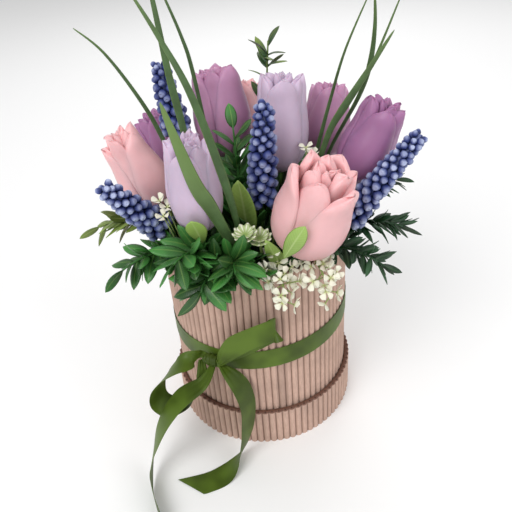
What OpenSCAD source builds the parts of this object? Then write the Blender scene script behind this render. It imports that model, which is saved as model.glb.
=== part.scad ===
/* [Box] */
// Diameter of the box over its flutes
box_d = 120; // [110:1:140]
// Height of the box without its lid
box_h = 139; // [125:1:160]
// Thickness of the rolled board wall
wall_t = 1.8; // [1.2:0.1:3]
// Thickness of the bottom disc
bottom_t = 2; // [1:0.5:4]
// Depth from the box's rim down to the floral foam
foam_drop = 5; // [4:0.5:8]

/* [Corrugated wrap] */
// Distance between two flutes
flute_pitch = 4.65; // [4:0.05:6]
// Height of a flute from valley to crest
flute_depth = 1.8; // [1.4:0.1:2.2]
// Thickness of the fluted paper at a crest
paper_t = 0.5; // [0.3:0.1:0.7]
// Thickness of the flat liner paper
liner_t = 0.4; // [0.2:0.1:0.8]
// Glue film between a wrap and its board wall
glue_gap = 0.05; // [0.02:0.01:0.1]

/* [Lid used as a tray] */
// Height of the lid
lid_h = 29.4; // [20:0.2:40]
// Thickness of the lid's rim
lid_wall_t = 1; // [0.8:0.1:1.6]
// Thickness of the lid's disc
lid_disc_t = 2; // [1:0.5:4]
// Running clearance between the lid's rim and the flutes of the box
lid_gap = 0.4; // [0.3:0.1:1]

/* [Ribbon] */
// Width of the satin ribbon
ribbon_w = 15; // [12:0.5:18]
// Thickness of the ribbon
ribbon_t = 0.4; // [0.3:0.1:0.6]
// Height of the middle of the band above the table
band_z = 78; // [60:1:90]
// Tilt of the band, higher at the right back
band_tilt = 4.3; // [0:0.1:6]
// Clearance between the band and the flute crests
band_gap = 0.1; // [0.05:0.05:0.3]
// Length of the knot
knot_len = 9; // [8:0.5:13]
// Radius of the knot at its middle
knot_r = 4.2; // [4:0.1:5]
// Clearance between the knot and what it is pressed against
seat_gap = 0.25; // [0.2:0.05:0.3]

/* [Flowers] */
// Diameter of a flower stem
stem_d = 3; // [2.4:0.1:3.4]
// Depth of a stem in the foam
stem_in = 26; // [15:1:35]
// Clearance between a stem and its hole in the foam
stem_gap = 0.15; // [0.1:0.05:0.3]
// Thickness of a tulip petal at the open mouth
petal_t = 1.6; // [1:0.1:2]
// Florets on a grape hyacinth spike
floret_count = 42; // [30:1:50]
// Radius of the lowest floret
floret_r = 2.8; // [2:0.1:3]

/* [Greens] */
// Diameter of a green pick's stem
pick_d = 2; // [1.6:0.1:2.4]
// Depth of a green pick in the foam
pick_in = 16; // [12:1:18]
// Thickness of a leaf along its rib
leaf_t = 0.8; // [0.6:0.1:1.2]
// Thickness of a grass blade
blade_t = 0.7; // [0.5:0.1:1]
// Width of a grass blade at its root
blade_root_w = 1.8; // [1.4:0.1:2.2]

/* [Hidden] */
fine = 240;
cut_over = 10;

// Heights of the stack, from the table up
table_gap = 0.4;
box_z = lid_disc_t;
rim_z = box_z + box_h;
foam_z = box_z + bottom_t;
foam_top = rim_z - foam_drop;

// Radii of the box, from the flutes inward
box_r = box_d / 2;
wrap_t = flute_depth + liner_t;
wrap_r = box_r - wrap_t;
wall_r = wrap_r - glue_gap;
bore_r = wall_r - wall_t;
disc_gap = 0.05;
foam_gap = 0.3;
foam_r = bore_r - foam_gap;

// Radii of the lid, from the box's flutes outward
lid_bore_r = box_r + lid_gap;
lid_wall_r = lid_bore_r + lid_wall_t;
lid_wrap_r = lid_wall_r + glue_gap;
lid_r = lid_wrap_r + wrap_t;

// Knot: pressed against the band at this bearing
band_r = box_r + band_gap;
knot_bearing = -121;
knot_reach = band_r + ribbon_t + seat_gap + knot_r;
knot_drop = 2.5;
knot_z = band_z - knot_drop;
knot_at = [knot_reach * cos(knot_bearing), knot_reach * sin(knot_bearing), knot_z];
// Where ribbons leave the knot: its two ends and its underside
knot_run = [-sin(knot_bearing), cos(knot_bearing), 0];
knot_left = knot_at - (knot_len / 2 + seat_gap) * knot_run;
knot_right = knot_at + (knot_len / 2 + seat_gap) * knot_run;
knot_under = knot_at - [0, 0, knot_r + seat_gap];

// ---- Vectors, curves and lofts ----

function unit(v) = v / norm(v);
function point_at(p, i) = p[max(0, min(len(p) - 1, i))];
function spline(a, b, c, d, t) =
    0.5 * (2 * b + (c - a) * t + (2 * a - 5 * b + 4 * c - d) * t * t + (3 * b - a - 3 * c + d) * t * t * t);
function smooth(p, k) = [
    for (i = [0 : len(p) - 2]) for (j = [0 : k - 1])
        spline(point_at(p, i - 1), p[i], p[i + 1], point_at(p, i + 2), j / k),
    p[len(p) - 1]
];
function tangent(p, i) = unit(point_at(p, i + 1) - point_at(p, i - 1));
function aim(lean, heading) = [sin(lean) * cos(heading), sin(lean) * sin(heading), cos(lean)];

// Solid skin through rings of equal size, each counter-clockwise about the way it runs. The second half
// of a ring is split along the other diagonals, so the two faces of a twisted strip stay parallel
module loft(rings) {
    n = len(rings[0]);
    m = len(rings);
    points = [for (r = rings) each r];
    sides = [
        for (r = [0 : m - 2]) for (i = [0 : n - 1])
            let (j = (i + 1) % n, a = r * n, b = a + n)
                each i < n / 2 ? [[a + i, b + i, b + j], [a + i, b + j, a + j]]
                    : [[a + i, b + i, a + j], [b + i, b + j, a + j]]
    ];
    ends = [[for (i = [0 : n - 1]) i], [for (i = [n - 1 : -1 : 0]) (m - 1) * n + i]];
    polyhedron(points, concat(sides, ends));
}

// Ring of a flat ribbon: middle, way it runs, way across, width, thickness
function ribbon_ring(p, t, across, w, h) =
    let (s = unit(across - t * (t * across)) * w / 2, n = unit(cross(t, s)) * h / 2)
        [p + s + n, p - s + n, p - s - n, p + s - n];

// Ring of a leaf or blade: pointed at both edges
function blade_ring(p, t, across, w, h) =
    let (s = unit(across - t * (t * across)) * w / 2, n = unit(cross(t, s)) * h / 2)
        [p + s, p + n, p - s, p - n];

// ---- Corrugated board, the box and its lid ----

// Single-faced corrugated board rolled round a wall, with open flute tunnels
module corrugated_wrap(inner_r, height) {
    outer_r = inner_r + wrap_t;
    count = round(360 / (flute_pitch / outer_r * 180 / PI));
    half_pitch = PI * outer_r / count;
    ridge_r = (flute_depth * flute_depth + half_pitch * half_pitch) / (2 * flute_depth);
    tunnel_r = (flute_depth - paper_t) / 2;
    linear_extrude(height) difference() {
        union() {
            circle(r = inner_r + liner_t, $fn = fine);
            for (i = [0 : count - 1]) rotate(i * 360 / count)
                translate([outer_r - ridge_r, 0]) circle(r = ridge_r, $fn = 32);
        }
        circle(r = inner_r, $fn = fine);
        for (i = [0 : count - 1]) rotate(i * 360 / count)
            translate([outer_r - paper_t - tunnel_r, 0]) circle(r = tunnel_r, $fn = 16);
    }
}

module tube(outer, inner, height) {
    difference() {
        cylinder(h = height, r = outer, $fn = fine);
        translate([0, 0, -cut_over]) cylinder(h = height + 2 * cut_over, r = inner, $fn = fine);
    }
}

module lid_disc() {
    color("#6a4a3c") cylinder(h = lid_disc_t, r = lid_bore_r - disc_gap, $fn = fine);
}

module lid_rim() {
    color("#7a5a4a") tube(lid_wall_r, lid_bore_r, lid_h);
}

module lid_wrap() {
    color("#b2968a") corrugated_wrap(lid_wrap_r, lid_h);
}

module box_bottom() {
    color("#6a4a3c") translate([0, 0, box_z]) cylinder(h = bottom_t, r = bore_r - disc_gap, $fn = fine);
}

module box_wall() {
    color("#7a5a4a") translate([0, 0, box_z]) tube(wall_r, bore_r, box_h);
}

module box_wrap() {
    color("#b8a096") translate([0, 0, box_z]) corrugated_wrap(wrap_r, box_h);
}

// ---- Ribbon band, knot, loops and tails ----

module ribbon_band() {
    reach = 4 * box_r;
    high_side = 20;
    color("#58702a") intersection() {
        tube(band_r + ribbon_t, band_r, rim_z);
        translate([0, 0, band_z]) rotate([0, 0, high_side]) rotate([0, -band_tilt, 0])
            cube([reach, reach, ribbon_w], center = true);
    }
}

// A barrel wound round the crossing, its axis along the band
module bow_knot() {
    end_r = 0.72 * knot_r;
    bow = (knot_len * knot_len / 4 + (knot_r - end_r) * (knot_r - end_r)) / (2 * (knot_r - end_r));
    color("#42591c") translate(knot_at) rotate([0, 0, knot_bearing + 90]) rotate([0, 90, 0])
        rotate_extrude($fn = 48) intersection() {
            translate([0, -knot_len / 2]) square([knot_r, knot_len]);
            translate([knot_r - bow, 0]) circle(r = bow, $fn = fine);
        }
}

// Ribbon along points measured from where it leaves the knot square to a face, with the way across
// and a share of the full width at each point; a loop comes back to the same face
module ribbon_strip(points, across, leave, comes_back) {
    path = smooth(points, 2);
    last = len(path) - 1;
    function way(i) = i == 0 ? leave : i == last && comes_back ? -leave : tangent(path, i);
    turn = smooth([for (a = across) [a[0], a[1], a[2]]], 2);
    share = smooth([for (a = across) [a[3], 0, 0]], 2);
    loft([for (i = [0 : last]) ribbon_ring(path[i], way(i), turn[i], ribbon_w * share[i][0], ribbon_t)]);
}

loop_left_path = [
    [0, 0, 1.9], [-2.2, 1.2, 2.3], [-8, -5, 4.8], [-16.5, -8.7, 3], [-25.5, -9.7, -4], [-31.5, -9.7, -14],
    [-32.5, -9.7, -25], [-26.5, -9.7, -32], [-17.5, -9.7, -30], [-8.5, -8.7, -24], [-3.5, -6.5, -14],
    [-2.6, -0.6, -5], [-2.2, 1.2, -2.2], [0, 0, -1.9]
];
loop_left_across = [
    for (w = [0.3, 0.32, 0.7, 1, 1, 1, 1, 1, 1, 1, 0.7, 0.4, 0.32, 0.3]) [-0.62, -0.74, -0.27, w]
];
loop_right_path = [
    [-0.7, -1.2, 1.2], [1.4, -2.5, 1.6], [6, -5.6, 10.5], [13.5, -7.8, 20], [24.5, -9.8, 27], [33.5, -10.3, 31],
    [37.5, -8.8, 30.5], [33.5, -6.8, 27], [24.5, -5.9, 21], [14.5, -4.9, 15], [7, -3.4, 7.5],
    [2.3, -1, 1.6], [0.1, 0.2, 1.2]
];
loop_right_across = [
    for (w = [0.3, 0.32, 0.7, 1, 1, 1, 1, 1, 1, 1, 0.65, 0.32, 0.3]) [0.35, -0.1, -0.93, w]
];
// Tails: along x and y from the knot, and height as a share of the height at the knot
tail_left_path = [
    [-0.1, -0.2, 1], [-0.5, -1, 0.985], [-3.6, -6.6, 0.96], [-8.5, -11.5, 0.92], [-21, -14, 0.812],
    [-31, -19, 0.674], [-38, -23, 0.513], [-43, -25, 0.331], [-46, -30, 0.171], [-46, -39, 0], [-44, -47, 0],
    [-41, -56, 0], [-37, -65, 0]
];
tail_left_across = [
    [0.86, -0.52, 0, 0.3], [0.86, -0.52, 0, 0.32], [0.75, -0.65, 0, 0.5], [0.6, -0.8, 0, 0.75],
    [0.5, -0.85, 0, 1], [0.45, -0.88, 0.1, 1], [0.35, -0.9, 0.25, 1], [0.2, -0.8, 0.5, 1],
    [0.1, -0.5, 0.85, 1], for (i = [0 : 3]) [0, 0, 1, 1]
];
tail_right_path = [
    [0.2, 0.3, 1], [2.3, -1.1, 0.995], [7, -6.3, 0.965], [13.5, -10.3, 0.834], [16.5, -12.3, 0.639],
    [15.5, -13.3, 0.422], [13.5, -15.3, 0.268], [9.5, -19.3, 0.134], [3.5, -24.3, 0.051], [-4.5, -30.3, 0],
    [-14.5, -34.3, 0], [-25.5, -36.3, 0]
];
tail_right_across = [
    [0.52, 0.86, 0, 0.3], [0.52, 0.86, 0, 0.32], [0.6, 0.75, 0, 0.7], [0.62, 0.78, 0, 1], [0.62, 0.78, 0, 1],
    [0.6, 0.8, 0, 1], [0.5, 0.85, 0, 1], [0.3, 0.9, -0.3, 1], [-0.2, 0.8, -0.3, 1], [-0.5, 0.85, 0, 1],
    [-0.3, 0.95, 0, 1], [-0.2, 1, 0, 1]
];
// Height of a tail's middle, never lower than its own standing or lying height
function tail_points(path, across, start_z) = [
    for (i = [0 : len(path) - 1])
        let (stand = table_gap + ribbon_t / 2 + abs(across[i][2]) * ribbon_w / 2)
            [path[i][0], path[i][1], max(stand, path[i][2] * start_z) - start_z]
];
tail_drop = 2.2;

module bow_loop_left() {
    color("#58702a") translate(knot_left) ribbon_strip(loop_left_path, loop_left_across, -knot_run, true);
}

module bow_loop_right() {
    color("#58702a") translate(knot_right) ribbon_strip(loop_right_path, loop_right_across, knot_run, true);
}

module bow_tail_left() {
    points = tail_points(tail_left_path, tail_left_across, knot_under[2]);
    color("#58702a") translate(knot_under) ribbon_strip(points, tail_left_across, [0, 0, -1], false);
}

module bow_tail_right() {
    points = tail_points(tail_right_path, tail_right_across, knot_z - tail_drop);
    color("#58702a") translate(knot_right - [0, 0, tail_drop])
        ribbon_strip(points, tail_right_across, knot_run, false);
}

// ---- Flowers: where each stem enters the foam ----

// Bearing, distance in from the foam's edge, heading, lean, stem above the foam, head length, head
// radius, mouth as a share of the radius, turn of the petals
tulips = [
    [-66, 4, -45, 20, 18, 60, 21.8, 0.66, 20],
    [-124, 5, -111, 5, 30, 60, 15.5, 0.5, 0],
    [-165, 11, 167, 23, 27, 57, 15.6, 0.55, 40],
    [118, 37, 115, 10, 42, 58, 18.2, 0.62, 10],
    [-8, 38, 60, 7, 39, 61, 16.6, 0.55, 50],
    [-6, 7, 3, 24, 34, 55, 16.6, 0.7, 0],
    [145, 16, 150, 26, 31, 47, 14.2, 0.6, 15],
    [28, 5, 62, 20, 31, 51, 16.4, 0.6, 70],
    [86, 10, 94, 14, 32, 48, 14.6, 0.6, 30]
];
// Bearing, distance in from the foam's edge, heading, lean, stem above the foam, spike length
muscaris = [
    [-82, 30, -28, 5, 35, 60],
    [-40, 5, 6, 40, 27, 63],
    [-157, 13, -137, 38, 34, 49],
    [163, 21, 145, 9, 65, 42]
];

// Distances in are drawn on foam of this radius, and keep their share of any other
drawn_r = 55.65;
function foot(bearing, inset) =
    let (r = foam_r * (1 - inset / drawn_r)) [r * cos(bearing), r * sin(bearing), foam_top];

// Places a pick's own axis along +Z, with its origin where it enters the foam
module planted(p) {
    translate(foot(p[0], p[1])) rotate([0, p[3], p[2]]) children();
}

module stem(above) {
    translate([0, 0, -stem_in]) cylinder(h = stem_in + above, r = stem_d / 2, $fn = 32);
}

petal_steps = 4;
tulip_sides = 6 * petal_steps;
// 0 in the middle of an outer petal, 1 in the middle of an inner one
function petal_share(a) = abs((a + 360 + 60) % 120 - 60) / 60;
function petal_tip(u) = u < 0.7 ? 1 - 0.2 * u * u : 0.96 - 1.1 * (1 - u) * (1 - u);
function petal_bulge(u) = u < 0.7 ? 1 - 0.08 * u * u : 0.9;
// Rows from the stem to the mouth: share of the length, share of the radius
tulip_rows = [[0, 0.12], [0.05, 0.45], [0.17, 0.82], [0.38, 1], [0.64, 0.96], [0.85, -1], [1, -2]];

function tulip_ring(row, length, radius, mouth, turn, wall) = [
    for (i = [0 : tulip_sides - 1])
        let (
            a = i * 360 / tulip_sides,
            u = petal_share(a),
            s = row[0],
            share = row[1] == -1 ? 0.45 + 0.5 * mouth : row[1] == -2 ? mouth : row[1],
            r = radius * share * (1 - (1 - petal_bulge(u)) * min(1, 3 * s)) - wall,
            z = length * s * (1 - (1 - petal_tip(u)) * s)
        ) [r * cos(a + turn + 14 * s), r * sin(a + turn + 14 * s), z]
];

// One cast head: three outer petals lapping three inner ones round an open mouth
module tulip_head(p) {
    length = p[5];
    radius = p[6];
    planted(p) translate([0, 0, p[4]]) loft(concat(
        [for (row = tulip_rows) tulip_ring(row, length, radius, p[7], p[8], 0)],
        [
            tulip_ring([0.99, p[7]], length, radius, p[7], p[8], petal_t),
            tulip_ring([0.72, 0.55 * p[7]], length, radius, p[7], p[8], 0),
            tulip_ring([0.55, 0.12], length, radius, p[7], p[8], 0)
        ]
    ));
}

module tulip_stem(p) {
    color("#4f7a3a") planted(p) stem(p[4]);
}

// Florets spiral up a tapering core, each turned so that its seam faces outward
module muscari_spike(p) {
    length = p[5];
    core_low = 2 * floret_r;
    core_high = 0.8 * floret_r;
    golden = 137.5;
    color("#2c3670") planted(p) translate([0, 0, p[4]]) union() {
        cylinder(h = length, r1 = core_low, r2 = core_high, $fn = 32);
        for (i = [0 : floret_count - 1])
            let (
                f = i / floret_count,
                z = 1.3 * floret_r + (length - 2 * floret_r) * f,
                r = core_low + (core_high - core_low) * z / length,
                b = floret_r * (1 - 0.4 * f)
            )
                rotate(i * golden) translate([r + 0.5 * b, 0, z]) rotate([0, 90, 0]) rotate(90)
                    sphere(r = b, $fn = 24);
    }
}

module muscari_stem(p) {
    color("#5d7f45") planted(p) stem(p[4]);
}

// ---- Grass blades and leaves ----

// A blade along points: its root, where it leaves the foam, then free, widest at a share of its length
module grass_blade(points, width, peak) {
    steps = 2;
    path = smooth(concat([blade_root(points)], points), steps);
    last = len(path) - 1;
    loft([for (i = [0 : last])
        let (
            s = max(0, i - steps) / (last - steps),
            w = s < peak ? blade_root_w + (width - blade_root_w) * s / peak
                : 0.5 + (width - 0.5) * pow((1 - s) / (1 - peak), 0.7),
            h = s == 0 ? blade_root_w / 2 : blade_t
        )
            blade_ring(path[i], tangent(path, i), [1, 0, 0], w, h)]);
}

// Depth of a blade's root in the foam, in line with its first stretch
blade_in = 20;
function blade_root(b) = b[0] - blade_in * unit(b[1] - b[0]);

// Bearing and distance in of each blade's root, and its points measured from the root
grass_left_roots = [[-98.5, 8.1], [-138.7, 22.3], [174.3, 35.6], [-175.4, 18.5], [-103.5, 4.2]];
grass_left_paths = [
    [[0, 0, 0], [-2, -6, 40], [-8, -15, 80], [-18, -7, 114], [-31, 9, 137], [-46, 29, 158]],
    [[0, 0, 0], [-5, 0, 42], [-9, 2, 82], [-13, 8, 110], [-17, 20, 146], [-20, 28, 160]],
    [[0, 0, 0], [-2, 2, 52], [-7, 6, 103], [-11, 9, 122], [-18, 15, 142], [-23, 20, 154]],
    [[0, 0, 0], [-4, -3, 40], [-12, -7, 77], [-21, -9, 101], [-33, -11, 124], [-45, -12, 137]],
    [[0, 0, 0], [0, -5.5, 22], [-8, -11.2, 50], [-15, -15.2, 69], [-21, -16.8, 94], [-26, -14, 113]]
];
grass_left_widths = [4.8, 4.4, 2.4, 2.8, 9];
grass_left_peaks = [0.35, 0.5, 0.4, 0.4, 0.5];
grass_right_roots = [[7.1, 23.4], [18.9, 15.5], [16.4, 20.2], [-15.3, 21.4]];
grass_right_paths = [
    [[0, 0, 0], [6, 1, 30], [13, 2, 57], [19, 1, 81], [27, -1, 110], [40, -4, 142]],
    [[0, 0, 0], [14, 6, 40], [32, 5, 76], [38, 4, 96], [40, 4, 118], [38, 1, 140]],
    [[0, 0, 0], [10, 0, 38], [21, 0, 65], [32, -1, 82], [42, -3, 101], [56, -6, 140]],
    [[0, 0, 0], [7, -1, 40], [15, -1, 67], [23, -1, 81], [37, 0, 102], [50, 2, 121]]
];
grass_right_widths = [2.6, 3.4, 3, 4.8];
grass_right_peaks = [0.4, 0.6, 0.5, 0.6];

module blades(roots, paths, widths, peaks) {
    for (i = [0 : len(paths) - 1])
        translate(foot(roots[i][0], roots[i][1])) grass_blade(paths[i], widths[i], peaks[i]);
}

module grass_left() {
    color("#3f7032") blades(grass_left_roots, grass_left_paths, grass_left_widths, grass_left_peaks);
}

module grass_right() {
    color("#3f7032") blades(grass_right_roots, grass_right_paths, grass_right_widths, grass_right_peaks);
}

// A leaf on its short stalk, up +Z, arching to +X, its edges lifted into a shallow trough.
// Rows give a share of the length and a share of the half width
leaf_rows = [[0, 0], [0.32, 0.92], [0.66, 0.86], [1, 0]];

module leaf(length, width, arch, trough) {
    loft([for (row = leaf_rows)
        let (
            s = row[0],
            w = max(leaf_t / 2, row[1] * width / 2),
            c = [arch * length * s * s, 0, length * s * (1 - 0.3 * arch * s)],
            e = trough * w * (row[1] > 0 ? 1 : 0),
            h = leaf_t / 2 * (1 - 0.5 * s)
        )
            [c + [e, w, 0], c - [h, 0, 0], c + [e, -w, 0], c + [h, 0, 0]]]);
}

// Place and lean of a point at a share s of a stem that bends from one lean to another
function stem_lean(p, s) = p[3] + (p[4] - p[3]) * s;
function stem_point(p, s) =
    let (bend = p[5] / ((p[4] - p[3]) * PI / 180))
        [bend * (cos(p[3]) - cos(stem_lean(p, s))), 0, bend * (sin(stem_lean(p, s)) - sin(p[3]))];

// Bearing, distance in, heading, first and last lean, length, leaves, leaf length, leaf width,
// first leaf's share, spread, roll
ruscus_front = [-112, 9, -114, 30, 120, 40, 13, 25, 10, 0.38, 60, -75];
ruscus_middle = [-108.42, 8.02, -83.53, 19.4, 93.32, 43.7, 12, 24.9, 8.56, 0.45, 46.43, -84.02];
ruscus_corner = [-120.6, 9.4, -122.6, 12.7, 98.5, 52.1, 12, 25.2, 9.6, 0.36, 52, -70.5];
ruscus_left = [-140, 10, -146, 35, 112, 56, 14, 22, 8.5, 0.3, 50, -75];
ruscus_back = [62, 10, 60, 35, 100, 50, 13, 23, 9, 0.32, 55, -75];
ruscus_back_left = [118, 10, 122, 35, 100, 50, 13, 23, 9, 0.32, 55, -75];
olive = [178, 9, -173, 40, 112, 58, 12, 20, 6.5, 0.35, 45, -75];
myrtle_right = [-21.3, 11.1, -18.8, 46.3, 104.3, 55, 15, 18, 5, 0.26, 44.6, -72];
myrtle_front = [-49.2, 11.6, -41.7, 43.3, 110, 59.8, 14, 16, 4.8, 0.34, 52, -68];
myrtle_back = [2, 8, 14, 40, 96, 56, 13, 18, 5, 0.28, 45, -70];
centre = [-130, 46, 100, 1, 6, 74, 9, 20, 9, 0.5, 30, 0];
upright = [65, 31, 25, 2, 6, 112, 7, 18, 6, 0.86, 48, 0];

module arched_stem(p) {
    down = aim(p[3], 0);
    steps = 5;
    ring_sides = 6;
    loft([for (i = [-1 : steps])
        let (
            s = max(0, i) / steps,
            q = i < 0 ? -pick_in * down : stem_point(p, s),
            lean = stem_lean(p, s),
            r = pick_d / 2 * (1 - 0.5 * s)
        )
            [for (k = [0 : ring_sides - 1])
                let (a = k * 360 / ring_sides)
                    q + r * [cos(a) * cos(lean), sin(a), -cos(a) * sin(lean)]]]);
}

// A stem with leaves to both sides and one at its tip
module leaf_spray(p) {
    last = p[6] - 1;
    translate(foot(p[0], p[1])) rotate([0, 0, p[2]]) union() {
        arched_stem(p);
        for (i = [0 : last])
            let (
                s = i == last ? 0.97 : p[9] + (0.94 - p[9]) * i / last,
                side = i % 2 == 0 ? 90 : -90,
                shrink = 1 - 0.35 * abs(i / last - 0.4)
            )
                translate(stem_point(p, s)) rotate([0, stem_lean(p, s), 0])
                    rotate([0, 0, i == last ? 0 : side + 24 * sin(i * 97)])
                        rotate([0, i == last ? 0 : p[10], 0]) rotate([0, 0, p[11] * (i % 2 == 0 ? 1 : -1)])
                            leaf(p[7] * shrink, p[8] * shrink, 0.2, 0.25);
    }
}

module ruscus_spray_front() {
    color("#2f6b2f") leaf_spray(ruscus_front);
}

module ruscus_spray_middle() {
    color("#2f6b2f") leaf_spray(ruscus_middle);
}

module ruscus_spray_corner() {
    color("#2f6b2f") leaf_spray(ruscus_corner);
}

module ruscus_spray_left() {
    color("#2f6b2f") leaf_spray(ruscus_left);
}

module ruscus_spray_back() {
    color("#2f6b2f") leaf_spray(ruscus_back);
}

module ruscus_spray_back_left() {
    color("#2f6b2f") leaf_spray(ruscus_back_left);
}

module olive_spray() {
    color("#7f9440") leaf_spray(olive);
}

module myrtle_spray_right() {
    color("#1f4d26") leaf_spray(myrtle_right);
}

module myrtle_spray_front() {
    color("#1f4d26") leaf_spray(myrtle_front);
}

module myrtle_spray_back() {
    color("#1f4d26") leaf_spray(myrtle_back);
}

module centre_sprig() {
    color("#3c7a34") leaf_spray(centre);
}

module upright_sprig() {
    color("#3c7a34") leaf_spray(upright);
}

// Two broad tulip leaves, each on its own pin in the foam: bearing, distance in, heading, lean, length, width
tulip_leaf_at = [[-95.2, 22.5, -110, 4, 44, 16], [-62, 31.5, -35, 9, 36, 12]];
leaf_pin_h = 18;
leaf_base = 16;

module tulip_leaves() {
    color("#8fb04e") for (l = tulip_leaf_at)
        planted(l) union() {
            translate([0, 0, -pick_in]) cylinder(h = pick_in + leaf_pin_h, r = pick_d / 2, $fn = 24);
            translate([0, 0, leaf_base]) leaf(l[4], l[5], 0.12, 0.3);
        }
}

// ---- White filler flowers ----

floret_w = 7;
// A four-lobed floret on a thread-thin stalk: rows of height, radius at a lobe, radius between lobes
floret_rows = [[0, 0.4, 0.4], [4, 0.4, 0.4], [5.6, floret_w / 2, floret_w / 3]];

module white_floret() {
    loft([for (row = floret_rows)
        [for (k = [0 : 7]) let (r = k % 2 == 0 ? row[1] : row[2]) [r * cos(k * 45), r * sin(k * 45), row[0]]]]);
}

white_right = [-53, 8, -76, 34, 140, 48, 12, 0, 0, 0.36, 60, 0];
white_left = [-76, 12, -84, 40, 135, 42, 11, 0, 0, 0.4, 60, 0];

module floret_spray(p) {
    last = p[6] - 1;
    translate(foot(p[0], p[1])) rotate([0, 0, p[2]]) union() {
        arched_stem(p);
        for (i = [0 : last])
            let (s = p[9] + (1 - p[9]) * i / last)
                translate(stem_point(p, s)) rotate([0, stem_lean(p, s), 0])
                    rotate([0, 0, 180 + 110 * sin(i * 137.5)]) rotate([0, p[10], 0]) white_floret();
    }
}

module white_spray_right() {
    color("#e6e6d2") floret_spray(white_right);
}

module white_spray_left() {
    color("#e6e6d2") floret_spray(white_left);
}

// Two ruffled rosettes on pins: bearing, distance in, heading, lean, height of the cup's rim, radius
rosette_at = [[-91.5, 5.3, -109, 17, 36, 5.8], [-85, 6, -99, 16, 31, 5.8]];
rosette_sides = 20;
function rosette_ring(r, z, ruffle) = [
    for (i = [0 : rosette_sides - 1])
        let (a = i * 360 / rosette_sides, lobe = r * (1 + ruffle * cos(10 * a)))
            [lobe * cos(a), lobe * sin(a), z]
];

module rosette_pick() {
    color("#dfe6c4") for (q = rosette_at)
        planted(q) union() {
            translate([0, 0, -pick_in]) cylinder(h = pick_in + q[4], r = pick_d / 2, $fn = 24);
            translate([0, 0, q[4] - 1]) loft([
                rosette_ring(1.3, 0, 0), rosette_ring(q[5], 3, 0.08), rosette_ring(q[5] - 0.7, 3.2, 0.08),
                rosette_ring(1.2, 1.4, 0)
            ]);
        }
}

// ---- Foam with a hole for every stem and pick ----

sprays = [
    ruscus_front, ruscus_middle, ruscus_corner, ruscus_left, ruscus_back, ruscus_back_left, olive, myrtle_right,
    myrtle_front, myrtle_back, centre, upright, white_right, white_left
];
// Bearing, distance in, heading and lean of each blade's first stretch
blade_roots = concat(grass_left_roots, grass_right_roots);
blade_paths = concat(grass_left_paths, grass_right_paths);
blade_ways = [
    for (i = [0 : len(blade_roots) - 1])
        let (d = unit(blade_paths[i][1]))
            [blade_roots[i][0], blade_roots[i][1], atan2(d[1], d[0]), acos(d[2])]
];

module hole(radius, depth) {
    rotate(90) translate([0, 0, -depth - stem_gap])
        cylinder(h = depth + stem_gap + cut_over, r = radius + stem_gap, $fn = 24);
}

module floral_foam() {
    color("#3f5a3a") difference() {
        translate([0, 0, foam_z]) cylinder(h = foam_top - foam_z, r = foam_r, $fn = fine);
        for (p = concat(tulips, muscaris)) planted(p) hole(stem_d / 2, stem_in);
        for (p = concat(sprays, tulip_leaf_at, rosette_at))
            planted(p) hole(pick_d / 2, pick_in);
        for (b = blade_ways)
            planted(b) hole(blade_root_w / 2, blade_in);
    }
}

lid_disc();
lid_rim();
lid_wrap();
box_bottom();
box_wall();
box_wrap();
floral_foam();
ribbon_band();
bow_knot();
bow_loop_left();
bow_loop_right();
bow_tail_left();
bow_tail_right();
color("#dca5a5") tulip_head(tulips[0]);  // tulip_head_1
color("#bea8c0") tulip_head(tulips[1]);  // tulip_head_2
color("#dca5a5") tulip_head(tulips[2]);  // tulip_head_3
color("#aa7896") tulip_head(tulips[3]);  // tulip_head_4
color("#beaabe") tulip_head(tulips[4]);  // tulip_head_5
color("#915f82") tulip_head(tulips[5]);  // tulip_head_6
color("#96648c") tulip_head(tulips[6]);  // tulip_head_7
color("#b47896") tulip_head(tulips[7]);  // tulip_head_8
color("#d296aa") tulip_head(tulips[8]);  // tulip_head_9
tulip_stem(tulips[0]);  // tulip_stem_1
tulip_stem(tulips[1]);  // tulip_stem_2
tulip_stem(tulips[2]);  // tulip_stem_3
tulip_stem(tulips[3]);  // tulip_stem_4
tulip_stem(tulips[4]);  // tulip_stem_5
tulip_stem(tulips[5]);  // tulip_stem_6
tulip_stem(tulips[6]);  // tulip_stem_7
tulip_stem(tulips[7]);  // tulip_stem_8
tulip_stem(tulips[8]);  // tulip_stem_9
muscari_spike(muscaris[0]);  // muscari_spike_1
muscari_spike(muscaris[1]);  // muscari_spike_2
muscari_spike(muscaris[2]);  // muscari_spike_3
muscari_spike(muscaris[3]);  // muscari_spike_4
muscari_stem(muscaris[0]);  // muscari_stem_1
muscari_stem(muscaris[1]);  // muscari_stem_2
muscari_stem(muscaris[2]);  // muscari_stem_3
muscari_stem(muscaris[3]);  // muscari_stem_4
grass_left();
grass_right();
tulip_leaves();
ruscus_spray_front();
ruscus_spray_middle();
ruscus_spray_corner();
ruscus_spray_left();
ruscus_spray_back();
ruscus_spray_back_left();
olive_spray();
myrtle_spray_right();
myrtle_spray_front();
myrtle_spray_back();
centre_sprig();
upright_sprig();
white_spray_right();
white_spray_left();
rosette_pick();
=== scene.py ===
"""Looks of a flower box: a corrugated hat box standing in its upturned lid, with a satin bow and cast flowers.

Sizes are in millimetres here and turned to metres when a mesh is made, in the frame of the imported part.
"""

import math
from collections import namedtuple

import bpy
import numpy as np
from bpy.props import FloatProperty, FloatVectorProperty, IntProperty, PointerProperty
from mathutils import Matrix, Vector


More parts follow.
